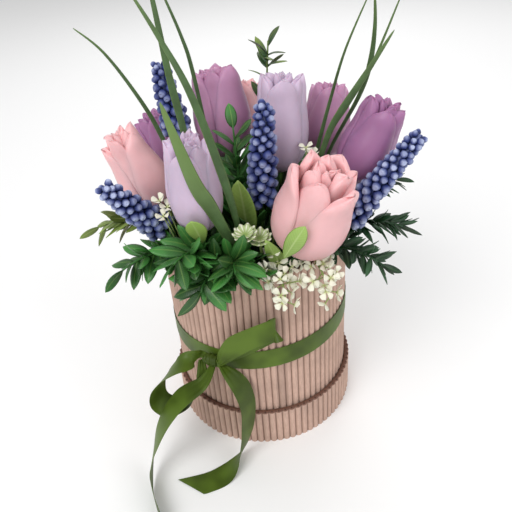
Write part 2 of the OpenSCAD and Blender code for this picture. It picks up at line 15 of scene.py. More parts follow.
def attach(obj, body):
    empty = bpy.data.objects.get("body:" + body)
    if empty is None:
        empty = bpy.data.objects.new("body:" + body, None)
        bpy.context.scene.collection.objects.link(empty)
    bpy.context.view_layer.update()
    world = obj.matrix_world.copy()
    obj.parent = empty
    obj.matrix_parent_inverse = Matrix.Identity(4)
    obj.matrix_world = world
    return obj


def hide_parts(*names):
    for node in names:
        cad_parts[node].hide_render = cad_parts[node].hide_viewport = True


bl_info = {
    "name": "Flower box",
    "version": (1, 0, 0),
    "blender": (4, 5, 0),
    "location": "View3D > Sidebar > Flower box",
    "description": "Builds the paper, ribbon, flowers and greens of a flower box round its packed frame",
    "category": "Object",
}

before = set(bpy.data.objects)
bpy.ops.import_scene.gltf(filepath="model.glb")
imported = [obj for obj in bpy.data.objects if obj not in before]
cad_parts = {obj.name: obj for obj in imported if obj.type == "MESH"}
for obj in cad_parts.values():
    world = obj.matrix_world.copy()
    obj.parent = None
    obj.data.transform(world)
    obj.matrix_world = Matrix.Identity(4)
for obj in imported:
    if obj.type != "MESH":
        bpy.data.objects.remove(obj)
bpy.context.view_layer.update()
MM = 0.001
BOX = "flower_box"
TAU = 2 * np.pi

# ---- Sizes shared with the solids ----

BOX_R = 60.0
RIM_Z = 141.0
FOAM_TOP = 136.0
FOAM_R = 55.65
LID_CREST_R = 63.64
LID_H = 29.4
RIBBON_W = 15.0
RIBBON_T = 0.4
BAND_Z = 78.0
BAND_TILT = 4.3
BAND_TURN = 20.0
BAND_R = 60.1
KNOT_BEARING = -121.0
KNOT_LEN = 9.0
KNOT_R = 4.2
KNOT_Z = 75.5
SEAT = 0.25
TAIL_DROP = 2.2
PICK_IN = 16.0
PICK_D = 2.0
BLADE_IN = 20.0
BLADE_ROOT_W = 1.8
BLADE_T = 0.7
BLADE_STEPS = 7
LEAF_T = 0.8
# Leaves are this much of the solids' length, which keeps their turned tips inside the solids' box
LEAF_TRIM = 0.965

# What stands in the foam. Its foot lies at a bearing, inset from the foam's edge, and it leans by an angle
# towards its heading. It rises by a bare stem to its head, cup or leaves.
Tulip = namedtuple("Tulip", "bearing inset heading lean rise length radius")
Muscari = namedtuple("Muscari", "bearing inset heading lean rise length")
Rosette = namedtuple("Rosette", "bearing inset heading lean rise radius")
Leaf = namedtuple("Leaf", "bearing inset heading lean length width")
# A spray's stem bends from its first lean to its last; its leaves start at a share of the stem
Spray = namedtuple(
    "Spray", "bearing inset heading lean last_lean length leaves leaf_length leaf_width start spread roll",
)

TULIPS = [
    Tulip(-66, 4, -45, 20, 18, 60, 21.8),
    Tulip(-124, 5, -111, 5, 30, 60, 15.5),
    Tulip(-165, 11, 167, 23, 27, 57, 15.6),
    Tulip(118, 37, 115, 10, 42, 58, 18.2),
    Tulip(-8, 38, 60, 7, 39, 61, 16.6),
    Tulip(-6, 7, 3, 24, 34, 55, 16.6),
    Tulip(145, 16, 150, 26, 31, 47, 14.2),
    Tulip(28, 5, 62, 20, 31, 51, 16.4),
    Tulip(86, 10, 94, 14, 32, 48, 14.6),
]
TULIP_TINTS = ["pink", "lilac", "pink", "mauve", "lilac", "purple", "purple", "mauve", "pink"]
MUSCARIS = [
    Muscari(-82, 30, -28, 5, 35, 60),
    Muscari(-40, 5, 6, 40, 27, 63),
    Muscari(-157, 13, -137, 38, 34, 49),
    Muscari(163, 21, 145, 9, 65, 42),
]
FLORET_R = 2.8
GOLDEN_ANGLE = 137.508
# Of each blade: bearing, inset, greatest width and the share where it lies, then points measured from its foot
GRASS_LEFT = [
    ([-98.5, 8.1, 4.8, 0.35],
     [[0, 0, 0], [-2, -6, 40], [-8, -15, 80], [-18, -7, 114], [-31, 9, 137], [-46, 29, 158]]),
    ([-138.7, 22.3, 4.4, 0.5],
     [[0, 0, 0], [-5, 0, 42], [-9, 2, 82], [-13, 8, 110], [-17, 20, 146], [-20, 28, 160]]),
    ([174.3, 35.6, 2.4, 0.4],
     [[0, 0, 0], [-2, 2, 52], [-7, 6, 103], [-11, 9, 122], [-18, 15, 142], [-23, 20, 154]]),
    ([-175.4, 18.5, 2.8, 0.4],
     [[0, 0, 0], [-4, -3, 40], [-12, -7, 77], [-21, -9, 101], [-33, -11, 124], [-45, -12, 137]]),
    ([-103.5, 4.2, 9, 0.5],
     [[0, 0, 0], [0, -5.5, 22], [-8, -11.2, 50], [-15, -15.2, 69], [-21, -16.8, 94], [-26, -14, 113]]),
]
GRASS_RIGHT = [
    ([7.1, 23.4, 2.6, 0.4],
     [[0, 0, 0], [6, 1, 30], [13, 2, 57], [19, 1, 81], [27, -1, 110], [40, -4, 142]]),
    ([18.9, 15.5, 3.4, 0.6],
     [[0, 0, 0], [14, 6, 40], [32, 5, 76], [38, 4, 96], [40, 4, 118], [38, 1, 140]]),
    ([16.4, 20.2, 3, 0.5],
     [[0, 0, 0], [10, 0, 38], [21, 0, 65], [32, -1, 82], [42, -3, 101], [56, -6, 140]]),
    ([-15.3, 21.4, 4.8, 0.6],
     [[0, 0, 0], [7, -1, 40], [15, -1, 67], [23, -1, 81], [37, 0, 102], [50, 2, 121]]),
]
SPRAYS = {
    "ruscus_spray_front": Spray(-112, 9, -114, 30, 120, 40, 13, 25, 10, 0.38, 60, -75),
    "ruscus_spray_middle": Spray(-108.42, 8.02, -83.53, 19.4, 93.32, 43.7, 12, 24.9, 8.56, 0.45, 46.43, -84.02),
    "ruscus_spray_corner": Spray(-120.6, 9.4, -122.6, 12.7, 98.5, 52.1, 12, 25.2, 9.6, 0.36, 52, -70.5),
    "ruscus_spray_left": Spray(-140, 10, -146, 35, 112, 56, 14, 22, 8.5, 0.3, 50, -75),
    "ruscus_spray_back": Spray(62, 10, 60, 35, 100, 50, 13, 23, 9, 0.32, 55, -75),
    "ruscus_spray_back_left": Spray(118, 10, 122, 35, 100, 50, 13, 23, 9, 0.32, 55, -75),
    "olive_spray": Spray(178, 9, -173, 40, 112, 58, 12, 20, 6.5, 0.35, 45, -75),
    "myrtle_spray_right": Spray(-21.3, 11.1, -18.8, 46.3, 104.3, 55, 15, 18, 5, 0.26, 44.6, -72),
    "myrtle_spray_front": Spray(-49.2, 11.6, -41.7, 43.3, 110, 59.8, 14, 16, 4.8, 0.34, 52, -68),
    "myrtle_spray_back": Spray(2, 8, 14, 40, 96, 56, 13, 18, 5, 0.28, 45, -70),
    "centre_sprig": Spray(-130, 46, 100, 1, 6, 74, 9, 20, 9, 0.5, 30, 0),
    "upright_sprig": Spray(65, 31, 25, 2, 6, 112, 7, 18, 6, 0.86, 48, 0),
}
WHITE_SPRAYS = {
    "white_spray_right": Spray(-53, 8, -76, 34, 140, 48, 12, 0, 0, 0.36, 60, 0),
    "white_spray_left": Spray(-76, 12, -84, 40, 135, 42, 11, 0, 0, 0.4, 60, 0),
}
TULIP_LEAVES = [Leaf(-95.2, 22.5, -110, 4, 44, 16), Leaf(-62, 31.5, -35, 9, 36, 12)]
RUFFLES = 10
ROSETTES = [Rosette(-91.5, 5.3, -109, 17, 36, 5.8), Rosette(-85, 6, -99, 16, 31, 5.8)]

# Pale bracts: foot, way, facing, length, width, arch, fold
BRACTS = [
    ([14.3, -77.2, 165], [11.7, -4.3, 22], [-0.42, -0.9, -0.1], 26, 10, 0.06, -0.04),
    ([-28.3, -58, 166], [-3, -7, 20], [0, -0.93, -0.35], 24, 11, 0.12, -0.04),
    ([17, -50, 136], [-10, -16.5, 30], [-0.1, -1, 0.4], 36, 9, -0.1, 0.2),
    ([2, -52, 137], [-5, -11, 15], [-0.3, -1, -0.3], 27, 10, 0.55, 0.2),
    ([-7, -50, 136], [3, -14, 20], [0.2, -1, 0.2], 26, 8, 0.2, 0.2),
]
# White florets set singly among the leaves: foot, place
LOOSE_FLORETS = np.array([
    [[-42, -28, 135], [-50, -43, 186]], [[-42, -30, 135], [-49, -46, 178]], [[-40, -30, 135], [-46, -45, 183]],
    [[36, -8, 135], [34, -14, 197]], [[36, -8, 135], [38, -13, 192]],
])

# Ribbon paths, measured from where each strip leaves the knot
LOOP_LEFT = [
    [0, 0, 1.9], [-2.2, 1.2, 2.3], [-8, -5, 4.8], [-16.5, -8.7, 3], [-25.5, -9.7, -4], [-31.5, -9.7, -14],
    [-32.5, -9.7, -25], [-26.5, -9.7, -32], [-17.5, -9.7, -30], [-8.5, -8.7, -24], [-3.5, -6.5, -14],
    [-2.6, -0.6, -5], [-2.2, 1.2, -2.2], [0, 0, -1.9],
]
LOOP_LEFT_ACROSS = [
    [-0.62, -0.74, -0.27, w] for w in (0.3, 0.32, 0.7, 1, 1, 1, 1, 1, 1, 1, 0.7, 0.4, 0.32, 0.3)
]
LOOP_RIGHT = [
    [-0.7, -1.2, 1.2], [1.4, -2.5, 1.6], [6, -5.6, 10.5], [13.5, -7.8, 20], [24.5, -9.8, 27], [33.5, -10.3, 31],
    [37.5, -8.8, 30.5], [33.5, -6.8, 27], [24.5, -5.9, 21], [14.5, -4.9, 15], [7, -3.4, 7.5],
    [2.3, -1, 1.6], [0.1, 0.2, 1.2],
]
LOOP_RIGHT_ACROSS = [
    [0.35, -0.1, -0.93, w] for w in (0.3, 0.32, 0.7, 1, 1, 1, 1, 1, 1, 1, 0.65, 0.32, 0.3)
]
# Tails: height as a share of the height at the knot
TAIL_LEFT = [
    [-0.1, -0.2, 1], [-0.5, -1, 0.985], [-3.6, -6.6, 0.96], [-8.5, -11.5, 0.92], [-21, -14, 0.812],
    [-31, -19, 0.674], [-38, -23, 0.513], [-43, -25, 0.331], [-46, -30, 0.171], [-46, -39, 0], [-44, -47, 0],
    [-41, -56, 0], [-37, -65, 0],
]
TAIL_LEFT_ACROSS = [
    [0.86, -0.52, 0, 0.3], [0.86, -0.52, 0, 0.32], [0.75, -0.65, 0, 0.5], [0.6, -0.8, 0, 0.75],
    [0.5, -0.85, 0, 1], [0.45, -0.88, 0.1, 1], [0.35, -0.9, 0.25, 1], [0.2, -0.8, 0.5, 1],
    [0.1, -0.5, 0.85, 1], [0, 0, 1, 1], [0, 0, 1, 1], [0, 0, 1, 1], [0, 0, 1, 1],
]
TAIL_RIGHT = [
    [0.2, 0.3, 1], [2.3, -1.1, 0.995], [7, -6.3, 0.965], [13.5, -10.3, 0.834], [16.5, -12.3, 0.639],
    [15.5, -13.3, 0.422], [13.5, -15.3, 0.268], [9.5, -19.3, 0.134], [3.5, -24.3, 0.051], [-4.5, -30.3, 0],
    [-14.5, -34.3, 0], [-25.5, -36.3, 0],
]
TAIL_RIGHT_ACROSS = [
    [0.52, 0.86, 0, 0.3], [0.52, 0.86, 0, 0.32], [0.6, 0.75, 0, 0.7], [0.62, 0.78, 0, 1], [0.62, 0.78, 0, 1],
    [0.6, 0.8, 0, 1], [0.5, 0.85, 0, 1], [0.3, 0.9, -0.3, 1], [-0.2, 0.8, -0.3, 1], [-0.5, 0.85, 0, 1],
    [-0.3, 0.95, 0, 1], [-0.2, 1, 0, 1],
]

# ---- Curves, frames and turns ----


def unit(v):
    """Each vector divided by its length."""
    return v / np.maximum(np.linalg.norm(v, axis=-1, keepdims=True), 1e-9)


def smooth(points, steps):
    """Cubic through every point: between two points the curve follows the slope of their neighbours."""
    p = np.asarray(points, float)
    i = np.arange(len(p) - 1)[:, None]
    t = (np.arange(steps) / steps)[None, :, None]
    a, b = p[np.maximum(i - 1, 0)], p[i]
    c, d = p[i + 1], p[np.minimum(i + 2, len(p) - 1)]
    inside = 0.5 * (2 * b + (c - a) * t + (2 * a - 5 * b + 4 * c - d) * t**2 + (3 * b - a - 3 * c + d) * t**3)
    return np.vstack([inside.reshape(-1, p.shape[1]), p[-1:]])


def tangents(path):
    """Direction from the point before to the point after, at each point of a path."""
    return unit(np.gradient(path, axis=0))


def turn_z(degrees):
    """Turn about Z for each angle, as a stack of 3 x 3 matrices."""
    a = np.radians(np.atleast_1d(np.asarray(degrees, float)))
    c, s, o, l = np.cos(a), np.sin(a), 0 * a, 0 * a + 1
    return np.stack([np.stack([c, -s, o], -1), np.stack([s, c, o], -1), np.stack([o, o, l], -1)], -2)


def turn_y(degrees):
    """Turn about Y for each angle, as a stack of 3 x 3 matrices."""
    a = np.radians(np.atleast_1d(np.asarray(degrees, float)))
    c, s, o, l = np.cos(a), np.sin(a), 0 * a, 0 * a + 1
    return np.stack([np.stack([c, o, s], -1), np.stack([o, l, o], -1), np.stack([-s, o, c], -1)], -2)


def foot(bearing, inset):
    """Point on the foam's top at a bearing and a distance in from its edge."""
    return polar(FOAM_R - inset, math.radians(bearing), FOAM_TOP)


def planted(p):
    """Foot and turn of a pick: leans from +Z towards its heading."""
    return foot(p.bearing, p.inset), turn_z(p.heading)[0] @ turn_y(p.lean)[0]


def plant(rings, p):
    """Rings drawn round +Z from the foam's top, stood where a pick stands."""
    base, turn = planted(p)
    return rings @ turn.T + base


def turned_to(rings, turn, base):
    """Each copy of some rings turned by its own matrix and moved to its own base."""
    return np.einsum("kab,krcb->krca", turn, rings) + np.asarray(base)[:, None, None]


def polar(radius, angle, z):
    """Points at a radius, an angle and a height, which broadcast together."""
    return np.stack(np.broadcast_arrays(radius * np.cos(angle), radius * np.sin(angle), z), -1)


def ring_angles(count):
    """Angles of a ring's points, from 0, counter-clockwise."""
    return np.linspace(0, TAU, count, endpoint=False)


def powered(x, power):
    """x raised to a power with its sign kept, which squares up a circle's cosine or sine."""
    return np.sign(x) * np.abs(x) ** power


def ease(x):
    """Smooth step from 0 at 0 to 1 at 1."""
    x = np.clip(x, 0, 1)
    return x * x * (3 - 2 * x)


# ---- Meshes ----


def skin(name, rings, material, tones=None, closed=False):
    """Mesh of closed skins from an array of copies x rows x ring points x 3, in millimetres.

    Each row is a ring, counter-clockwise about the way the rows run. Rows are joined by quads and both
    ends are closed by fans, or the last row joins the first where closed. Point attributes: along runs
    0 to 1 over the rows, round 0 to 1 over the ring, and tone holds one number for each copy.
    """
    rings = np.asarray(rings, float)
    if rings.ndim == 3:
        rings = rings[None]
    k, n, m, _ = rings.shape
    tones = np.linspace(0, 1, k) if tones is None else np.asarray(tones, float)
    ends = np.zeros((k, 0, 3)) if closed else rings[:, [0, -1]].mean(axis=2)
    points = np.concatenate([rings.reshape(k, -1, 3), ends], axis=1)
    size = points.shape[1]
    row = np.arange(n if closed else n - 1)[:, None] * m
    nxt = (row + m) % (n * m)
    c = np.arange(m)[None]
    c2 = (c + 1) % m
    quads = np.stack([row + c, row + c2, nxt + c2, nxt + c], -1).reshape(-1, 4)
    parts = [quads]
    if not closed:
        c, c2 = c[0], c2[0]
        low = np.stack([c2, c, np.full(m, n * m)], -1)
        high = np.stack([c, c2, np.full(m, n * m + 1)], -1)
        high[:, :2] += (n - 1) * m
        parts.append(np.vstack([low, high]))
    shift = (np.arange(k) * size)[:, None, None]
    faces = [face for part in parts for face in (part + shift).reshape(-1, part.shape[1]).tolist()]
    mesh = bpy.data.meshes.new(name)
    mesh.from_pydata((points * MM).reshape(-1, 3), [], faces)
    mesh.shade_smooth()
    along = np.broadcast_to(np.linspace(0, 1, n)[:, None], (n, m)).ravel()
    ringwise = np.broadcast_to(np.linspace(0, 1, m, endpoint=False)[None], (n, m)).ravel()
    extra = [] if closed else [0, 1]
    labels = {
        "along": np.tile(np.append(along, extra), k),
        "round": np.tile(np.append(ringwise, [0.5] * len(extra)), k),
        "tone": np.repeat(tones, size),
    }
    for label, values in labels.items():
        mesh.attributes.new(label, "FLOAT", "POINT").data.foreach_set("value", values.astype(np.float32))
    mesh.materials.append(material)
    piece = bpy.data.objects.new(name, mesh)
    bpy.context.scene.collection.objects.link(piece)
    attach(piece, BOX)
    return piece


def merged(name, pieces):
    """One object from several pieces of the same body."""
    bpy.ops.object.select_all(action="DESELECT")
    for piece in pieces:
        piece.select_set(True)
    bpy.context.view_layer.objects.active = pieces[0]
    bpy.ops.object.join()
    pieces[0].name = name
    return pieces[0]


def sweep(path, profile, across, leave=None, back=None):
    """Rings of a profile carried along a path.

    A ring point is path + x * side + y * normal, where side is the across vector made square to the
    path, normal is path way x side, and profile gives x and y for every row and ring point.
    """
    way = tangents(path)
    if leave is not None:
        way[0] = leave
    if back is not None:
        way[-1] = back
    across = np.broadcast_to(across, path.shape)
    side = unit(across - way * np.sum(across * way, axis=1, keepdims=True))
    normal = np.cross(way, side)
    return path[:, None] + profile[..., :1] * side[:, None] + profile[..., 1:] * normal[:, None]


# ---- Shader values and finishes ----


def math_node(operation, swapped=False):
    """Method that adds a Math node to a value's material, with the value second where swapped."""

    def added(self, other=0.0):
        a, b = (other, self) if swapped else (self, other)
        return self.finish.node("ShaderNodeMath", {"operation": operation}, {0: a, 1: b})

    return added


class Value:
    """A shader socket; its operators and methods add Math nodes, with numbers or other values."""

    def __init__(self, finish, socket):
        self.finish, self.socket = finish, socket

    __add__ = __radd__ = math_node("ADD")
    __sub__, __rsub__ = math_node("SUBTRACT"), math_node("SUBTRACT", swapped=True)
    __mul__ = __rmul__ = math_node("MULTIPLY")
    __pow__ = math_node("POWER")
    cos, sin, absolute = math_node("COSINE"), math_node("SINE"), math_node("ABSOLUTE")


class Finish:
    """A material built round one Principled shader."""

    def __init__(self, name, **fixed):
        self.material = bpy.data.materials.new(name)
        self.material.use_nodes = True
        self.tree = self.material.node_tree
        self.shader = self.tree.nodes["Principled BSDF"]
        for label, value in fixed.items():
            self.shader.inputs[label.replace("_", " ").title().replace("Ior", "IOR")].default_value = value

    def node(self, kind, settings=None, inputs=None, out=0):
        """Adds a node: its settings first, then values or links for its sockets."""
        node = self.tree.nodes.new(kind)
        for key, value in (settings or {}).items():
            setattr(node, key, value)
        for key, value in (inputs or {}).items():
            self.feed(node.inputs[key], value)
        return Value(self, node.outputs[out])

    def feed(self, socket, value):
        """Links a value to a socket, or sets its number or colour."""
        if isinstance(value, Value):
            self.tree.links.new(value.socket, socket)
        elif isinstance(value, (tuple, list)) and socket.type == "RGBA":
            socket.default_value = (*value[:3], 1.0)
        else:
            socket.default_value = value

    def place(self):
        """The point's place on the object, in metres."""
        return self.node("ShaderNodeTexCoord", out=3)

    def attribute(self, name):
        """A point attribute of the mesh."""
        return self.node("ShaderNodeAttribute", {"attribute_name": name}, out=2)

    def axes(self, vector):
        """The x, y and z of a vector."""
        outputs = self.node("ShaderNodeSeparateXYZ", None, {0: vector}).socket.node.outputs
        return [Value(self, output) for output in outputs]

    def joined(self, x, y, z):
        """A vector from its x, y and z."""
        return self.node("ShaderNodeCombineXYZ", None, {0: x, 1: y, 2: z})

    def scaled(self, vector, factors):
        """A vector times a factor for each axis."""
        return self.node("ShaderNodeVectorMath", {"operation": "MULTIPLY"}, {0: vector, 1: factors})

    def noise(self, vector, scale, detail, roughness):
        """Fractal noise of a scale, in cells a metre."""
        inputs = {"Vector": vector, "Scale": scale, "Detail": detail, "Roughness": roughness}
        return self.node("ShaderNodeTexNoise", None, inputs)

    def smoothed(self, value, low, high, to_low=0.0, to_high=1.0):
        """Value mapped smoothly from one range to another and held at its ends."""
        inputs = {"Value": value, "From Min": low, "From Max": high, "To Min": to_low, "To Max": to_high}
        return self.node("ShaderNodeMapRange", {"interpolation_type": "SMOOTHSTEP"}, inputs)

    def mix(self, share, a, b):
        """Colour a where share is 0, colour b where it is 1."""
        return self.node("ShaderNodeMix", {"data_type": "RGBA"}, {0: share, 6: a, 7: b}, out=2)

    def blend(self, value, low, high, a, b, most=1.0):
        """Colour a where a value is low, mixed towards colour b as far as most where it is high."""
        return self.mix(self.smoothed(value, low, high, 0.0, most), a, b)

    def tones(self, value, low, high, colour, dark, pale):
        """Two shades of a colour, the dark one where a value is low and the pale one where it is high."""
        return self.blend(value, low, high, shade(colour, dark), shade(colour, pale))

    def colour(self, value):
        """Sets the base colour."""
        self.feed(self.shader.inputs["Base Color"], value)
        return self

    def rough(self, value):
        """Sets the roughness."""
        self.feed(self.shader.inputs["Roughness"], value)
        return self

    def bump(self, height, strength, distance):
        """Raises the surface by height times distance, in metres."""
        inputs = {"Strength": strength, "Distance": distance, "Height": height}
        normal = self.node("ShaderNodeBump", None, inputs)
        self.feed(self.shader.inputs["Normal"], normal)
        return self


def tint(red, green, blue):
    """Colour from 0 to 255 steps to the linear values that shaders use."""
    c = np.array([red, green, blue], float) / 255
    return tuple(np.where(c <= 0.04045, c / 12.92, ((c + 0.055) / 1.055) ** 2.4))


def shade(colour, factor):
    """Colour made darker or paler by a factor, held at 1."""
    return tuple(min(1.0, c * factor) for c in colour[:3])


def dress(nodes, material):
    """Gives carried-over nodes of the frame a material."""
    for name in nodes:
        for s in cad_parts[name].material_slots:
            s.material = material


def kraft_paper(name, colour, top_z, crest, seam_bearing, grain):
    """Fluted kraft paper: mottled, long fibres up the flutes, darker top edge, painted shade in the valleys and at
    the overlap.
    """
    f = Finish(name, roughness=0.82, specular_ior_level=0.25)
    place = f.place()
    x, y, z = f.axes(place)
    mottle = f.noise(place, 45.0, 4.0, 0.6)
    fibre = f.noise(f.scaled(place, (1.0, 1.0, 0.12)), grain, 3.0, 0.65)
    speck = f.noise(place, grain * 0.9, 2.0, 0.7)
    warm = f.tones(mottle, 0.3, 0.7, colour, 0.86, 1.1)
    streaked = f.blend(fibre, 0.35, 0.7, warm, shade(colour, 0.72), 0.55)
    flecked = f.blend(speck, 0.62, 0.75, streaked, shade(colour, 0.5), 0.4)
    a = math.radians(seam_bearing)
    away = x * math.sin(a) - y * math.cos(a)
    facing = x * math.cos(a) + y * math.sin(a)
    # Painted shade: a narrow strip at the overlap is darkened. It stands in for the shade of an overlapping strip
    # that is not modelled.
    seam_shade = f.smoothed(away.absolute(), 0.0035, 0.0045, 1.0, 0.0) * f.smoothed(facing, 0.0, 0.01)
    lapped = f.mix(seam_shade * 0.35, flecked, shade(colour, 0.45))
    # Painted shade: the paper darkens towards the bottoms of the flute valleys, below the crest, where shade falls
    # between the flutes.
    valley_shade = f.smoothed((x * x + y * y) ** 0.5, crest - 0.0018, crest - 0.0003, 0.68, 0.0)
    # Darker band along the top edge, mixed in at three quarters strength.
    edge = f.smoothed(z, top_z - 0.0012, top_z - 0.0002)
    f.colour(f.mix(edge * 0.75, f.mix(valley_shade, lapped, shade(colour, 0.34)), tint(96, 58, 44)))
    f.rough(f.smoothed(fibre, 0.2, 0.8, 0.74, 0.92))
    return f.bump(fibre * 0.6 + speck * 0.4, 0.35, 0.00025).material


# Plain stuffs: roughness where dark and where pale, specular, noise scale, detail and coarseness, its low
# and high end, dark and pale shade, bump strength and distance
PLAIN = {
    "board": ((0.88, 0.88), 0.2, (320.0, 4.0, 0.65), (0.3, 0.7), (0.8, 1.15), (0.4, 0.0003)),
    "foam": ((0.95, 0.95), 0.1, (1400.0, 3.0, 0.7), (0.35, 0.65), (0.55, 1.15), (0.8, 0.0006)),
    "plastic": ((0.44, 0.6), 0.35, (160.0, 3.0, 0.6), (0.3, 0.7), (0.75, 1.12), (0.25, 0.0003)),
}


def plain(name, stuff, colour):
    """Mottled board, crumbly foam with fine pores, or moulded plastic with soft clouding."""
    roughness, specular, grain, ends, shades, bump = PLAIN[stuff]
    f = Finish(name, roughness=roughness[0], specular_ior_level=specular)
    cloud = f.noise(f.place(), *grain)
    f.colour(f.tones(cloud, *ends, colour, *shades))
    f.rough(f.smoothed(cloud, *ends, *roughness))
    return f.bump(cloud, *bump).material


def satin(name, colour):
    """Woven satin: fine threads across the strip, painted sheen and shade as clouding along it, and a soft broad
    highlight.
    """
    f = Finish(name, roughness=0.42, specular_ior_level=0.22)
    place = f.place()
    run, about = f.attribute("along"), f.attribute("round")
    cloud = f.noise(place, 42.0, 2.0, 0.5)
    thread = f.noise(f.joined(run * 900.0, about * 260.0, 0.0), 1.0, 2.0, 0.6)
    # Painted sheen and shade: the clouding takes the colour from half to 1.3 times its strength, in place of the
    # satin's highlights and darker folds.
    base = f.tones(cloud, 0.3, 0.7, colour, 0.5, 1.3)
    f.colour(f.blend(thread, 0.35, 0.7, base, shade(colour, 1.4), 0.3))
    f.rough(f.smoothed(thread, 0.3, 0.7, 0.36, 0.5))
    return f.bump(thread, 0.18, 0.00008).material


def wax(name, colour):
    """Cast waxy petals: milky, paler at the rim, deeper at the foot, with soft clouding."""
    f = Finish(name, roughness=0.42, specular_ior_level=0.45, subsurface_weight=0.22, subsurface_scale=0.004)
    f.shader.inputs["Subsurface Radius"].default_value = (1.0, 0.45, 0.4)
    deep, body, tip = (shade(colour, factor) for factor in (0.78, 1, 1.22))
    place = f.place()
    run, tone = f.attribute("along"), f.attribute("tone")
    cloud = f.noise(place, 95.0, 3.0, 0.55)
    grain = f.noise(place, 900.0, 2.0, 0.6)
    foot_up = f.blend(run, 0.0, 0.45, deep, body)
    rim = f.blend(run, 0.62, 1.0, foot_up, tip, 0.7)
    clouded = f.blend(cloud, 0.35, 0.7, rim, shade(body, 0.82), 0.35)
    f.colour(f.mix(tone * 0.18, clouded, tip))
    f.rough(f.smoothed(cloud, 0.25, 0.75, 0.34, 0.52))
    return f.bump(cloud * 0.8 + grain * 0.2, 0.22, 0.0006).material


def bells(name, low, body, bloom_and_highlight):
    """Grape hyacinth bells: navy, painted shade where they meet the core, pale frosting and painted highlight at
    the mouths.
    """
    f = Finish(name, roughness=0.5, specular_ior_level=0.4)
    place = f.place()
    run, tone = f.attribute("along"), f.attribute("tone")
    cloud = f.noise(place, 700.0, 2.0, 0.6)
    # Painted shade: each bell runs from a darker navy at its foot, in the gaps between bells, to its body colour.
    blue = f.blend(run, 0.12, 0.5, low, body)
    # Pale frosting and painted highlight: the mouth colour spreads over the outer part of each bell.
    share = f.smoothed(run + cloud * 0.3 - 0.15, 0.3, 0.85) * (0.25 + tone * 0.7)
    f.colour(f.mix(share, blue, bloom_and_highlight))
    f.rough(f.smoothed(cloud, 0.3, 0.7, 0.42, 0.6))
    return f.bump(cloud, 0.2, 0.0003).material


def leaf_green(name, low, high, rib, gloss):
    """Moulded leaf: darker foot, paler tip partly as painted highlight, paler midrib with side veins, painted
    shade by tone.
    """
    f = Finish(name, roughness=gloss, specular_ior_level=0.45)
    place = f.place()
    run, about, tone = f.attribute("along"), f.attribute("round"), f.attribute("tone")
    off_rib = (about * TAU).cos().absolute()
    cloud = f.noise(place, 260.0, 3.0, 0.6)
    veins = ((run - off_rib * 0.16) * 85.0).sin()
    # Foot to tip from the darker colour to the paler one, which partly stands in for painted highlights.
    leaf = f.blend(run + cloud * 0.4 - 0.2, 0.05, 0.95, low, high)
    # Painted shade: a higher tone darkens a leaf towards 0.6 of the darker colour, as for leaves lying in shade.
    toned = f.blend(tone, 0.2, 1.0, leaf, shade(low, 0.6), 0.85)
    veined = f.blend(veins, 0.55, 1.0, toned, rib, 0.12)
    f.colour(f.mix(f.smoothed(off_rib, 0.02, 0.14, 0.42, 0.0), veined, rib))
    f.rough(f.smoothed(cloud, 0.25, 0.75, gloss - 0.08, gloss + 0.12))
    return f.bump(veins * 0.3 + cloud, 0.3, 0.00025).material


def blade_green(name, colour, edge):
    """Grass blade: fine lines along it, paler edges and tip."""
    f = Finish(name, roughness=0.48, specular_ior_level=0.35)
    run, about, tone = f.attribute("along"), f.attribute("round"), f.attribute("tone")
    across = (about * TAU).cos()
    off_rib, lines = across.absolute(), (across * 38.0).sin()
    cloud = f.noise(f.place(), 120.0, 3.0, 0.6)
    green = f.tones(cloud, 0.3, 0.7, colour, 0.75, 1.25)
    lined = f.blend(lines, 0.2, 1.0, green, edge, 0.22)
    toned = f.mix(f.smoothed(run, 0.35, 0.8) * tone * 0.7, lined, edge)
    tipped = f.blend(run, 0.72, 1.0, toned, edge, 0.45)
    f.colour(f.blend(off_rib, 0.72, 0.98, tipped, edge, 0.6))
    return f.bump(lines, 0.3, 0.0001).material


def cream_petal(name, colour, heart):
    """White filler floret: cream petals, greenish heart."""
    f = Finish(name, roughness=0.6, specular_ior_level=0.3)
    run = f.attribute("along")
    cloud = f.noise(f.place(), 500.0, 2.0, 0.6)
    petal = f.blend(run, 0.05, 0.5, heart, colour)
    f.colour(f.blend(cloud, 0.4, 0.75, petal, shade(colour, 0.8), 0.25))
    return f.bump(cloud, 0.25, 0.0003).material


def veined_rosette(name, colour, vein):
    """Ruffled rosette: cream with green folds running out from its heart."""
    f = Finish(name, roughness=0.55, specular_ior_level=0.3)
    run, about = f.attribute("along"), f.attribute("round")
    folds = (about * TAU * RUFFLES).cos()
    cloud = f.noise(f.place(), 600.0, 2.0, 0.6)
    lined = f.mix(f.smoothed(folds, 0.2, 1.0, 0.75, 0.0), colour, vein)
    f.colour(f.blend(run, 0.62, 1.0, lined, shade(vein, 0.8)))
    return f.bump(cloud, 0.3, 0.0003).material

# ---- Ribbon ----

KNOT_REACH = BAND_R + RIBBON_T + SEAT + KNOT_R
KNOT_COS, KNOT_SIN = math.cos(math.radians(KNOT_BEARING)), math.sin(math.radians(KNOT_BEARING))
KNOT_AT = np.array([KNOT_REACH * KNOT_COS, KNOT_REACH * KNOT_SIN, KNOT_Z])
KNOT_RUN = np.array([-KNOT_SIN, KNOT_COS, 0.0])
STRIP_RING = 36
STRIP_STEPS = 9
RIBBON_SWAY = 0.25
BAND_STEPS = 288
FLUTES = 81
KNOT_ROWS = 33
# The right tail's cut slants more than the left one's
RIGHT_SLANT = 1.7


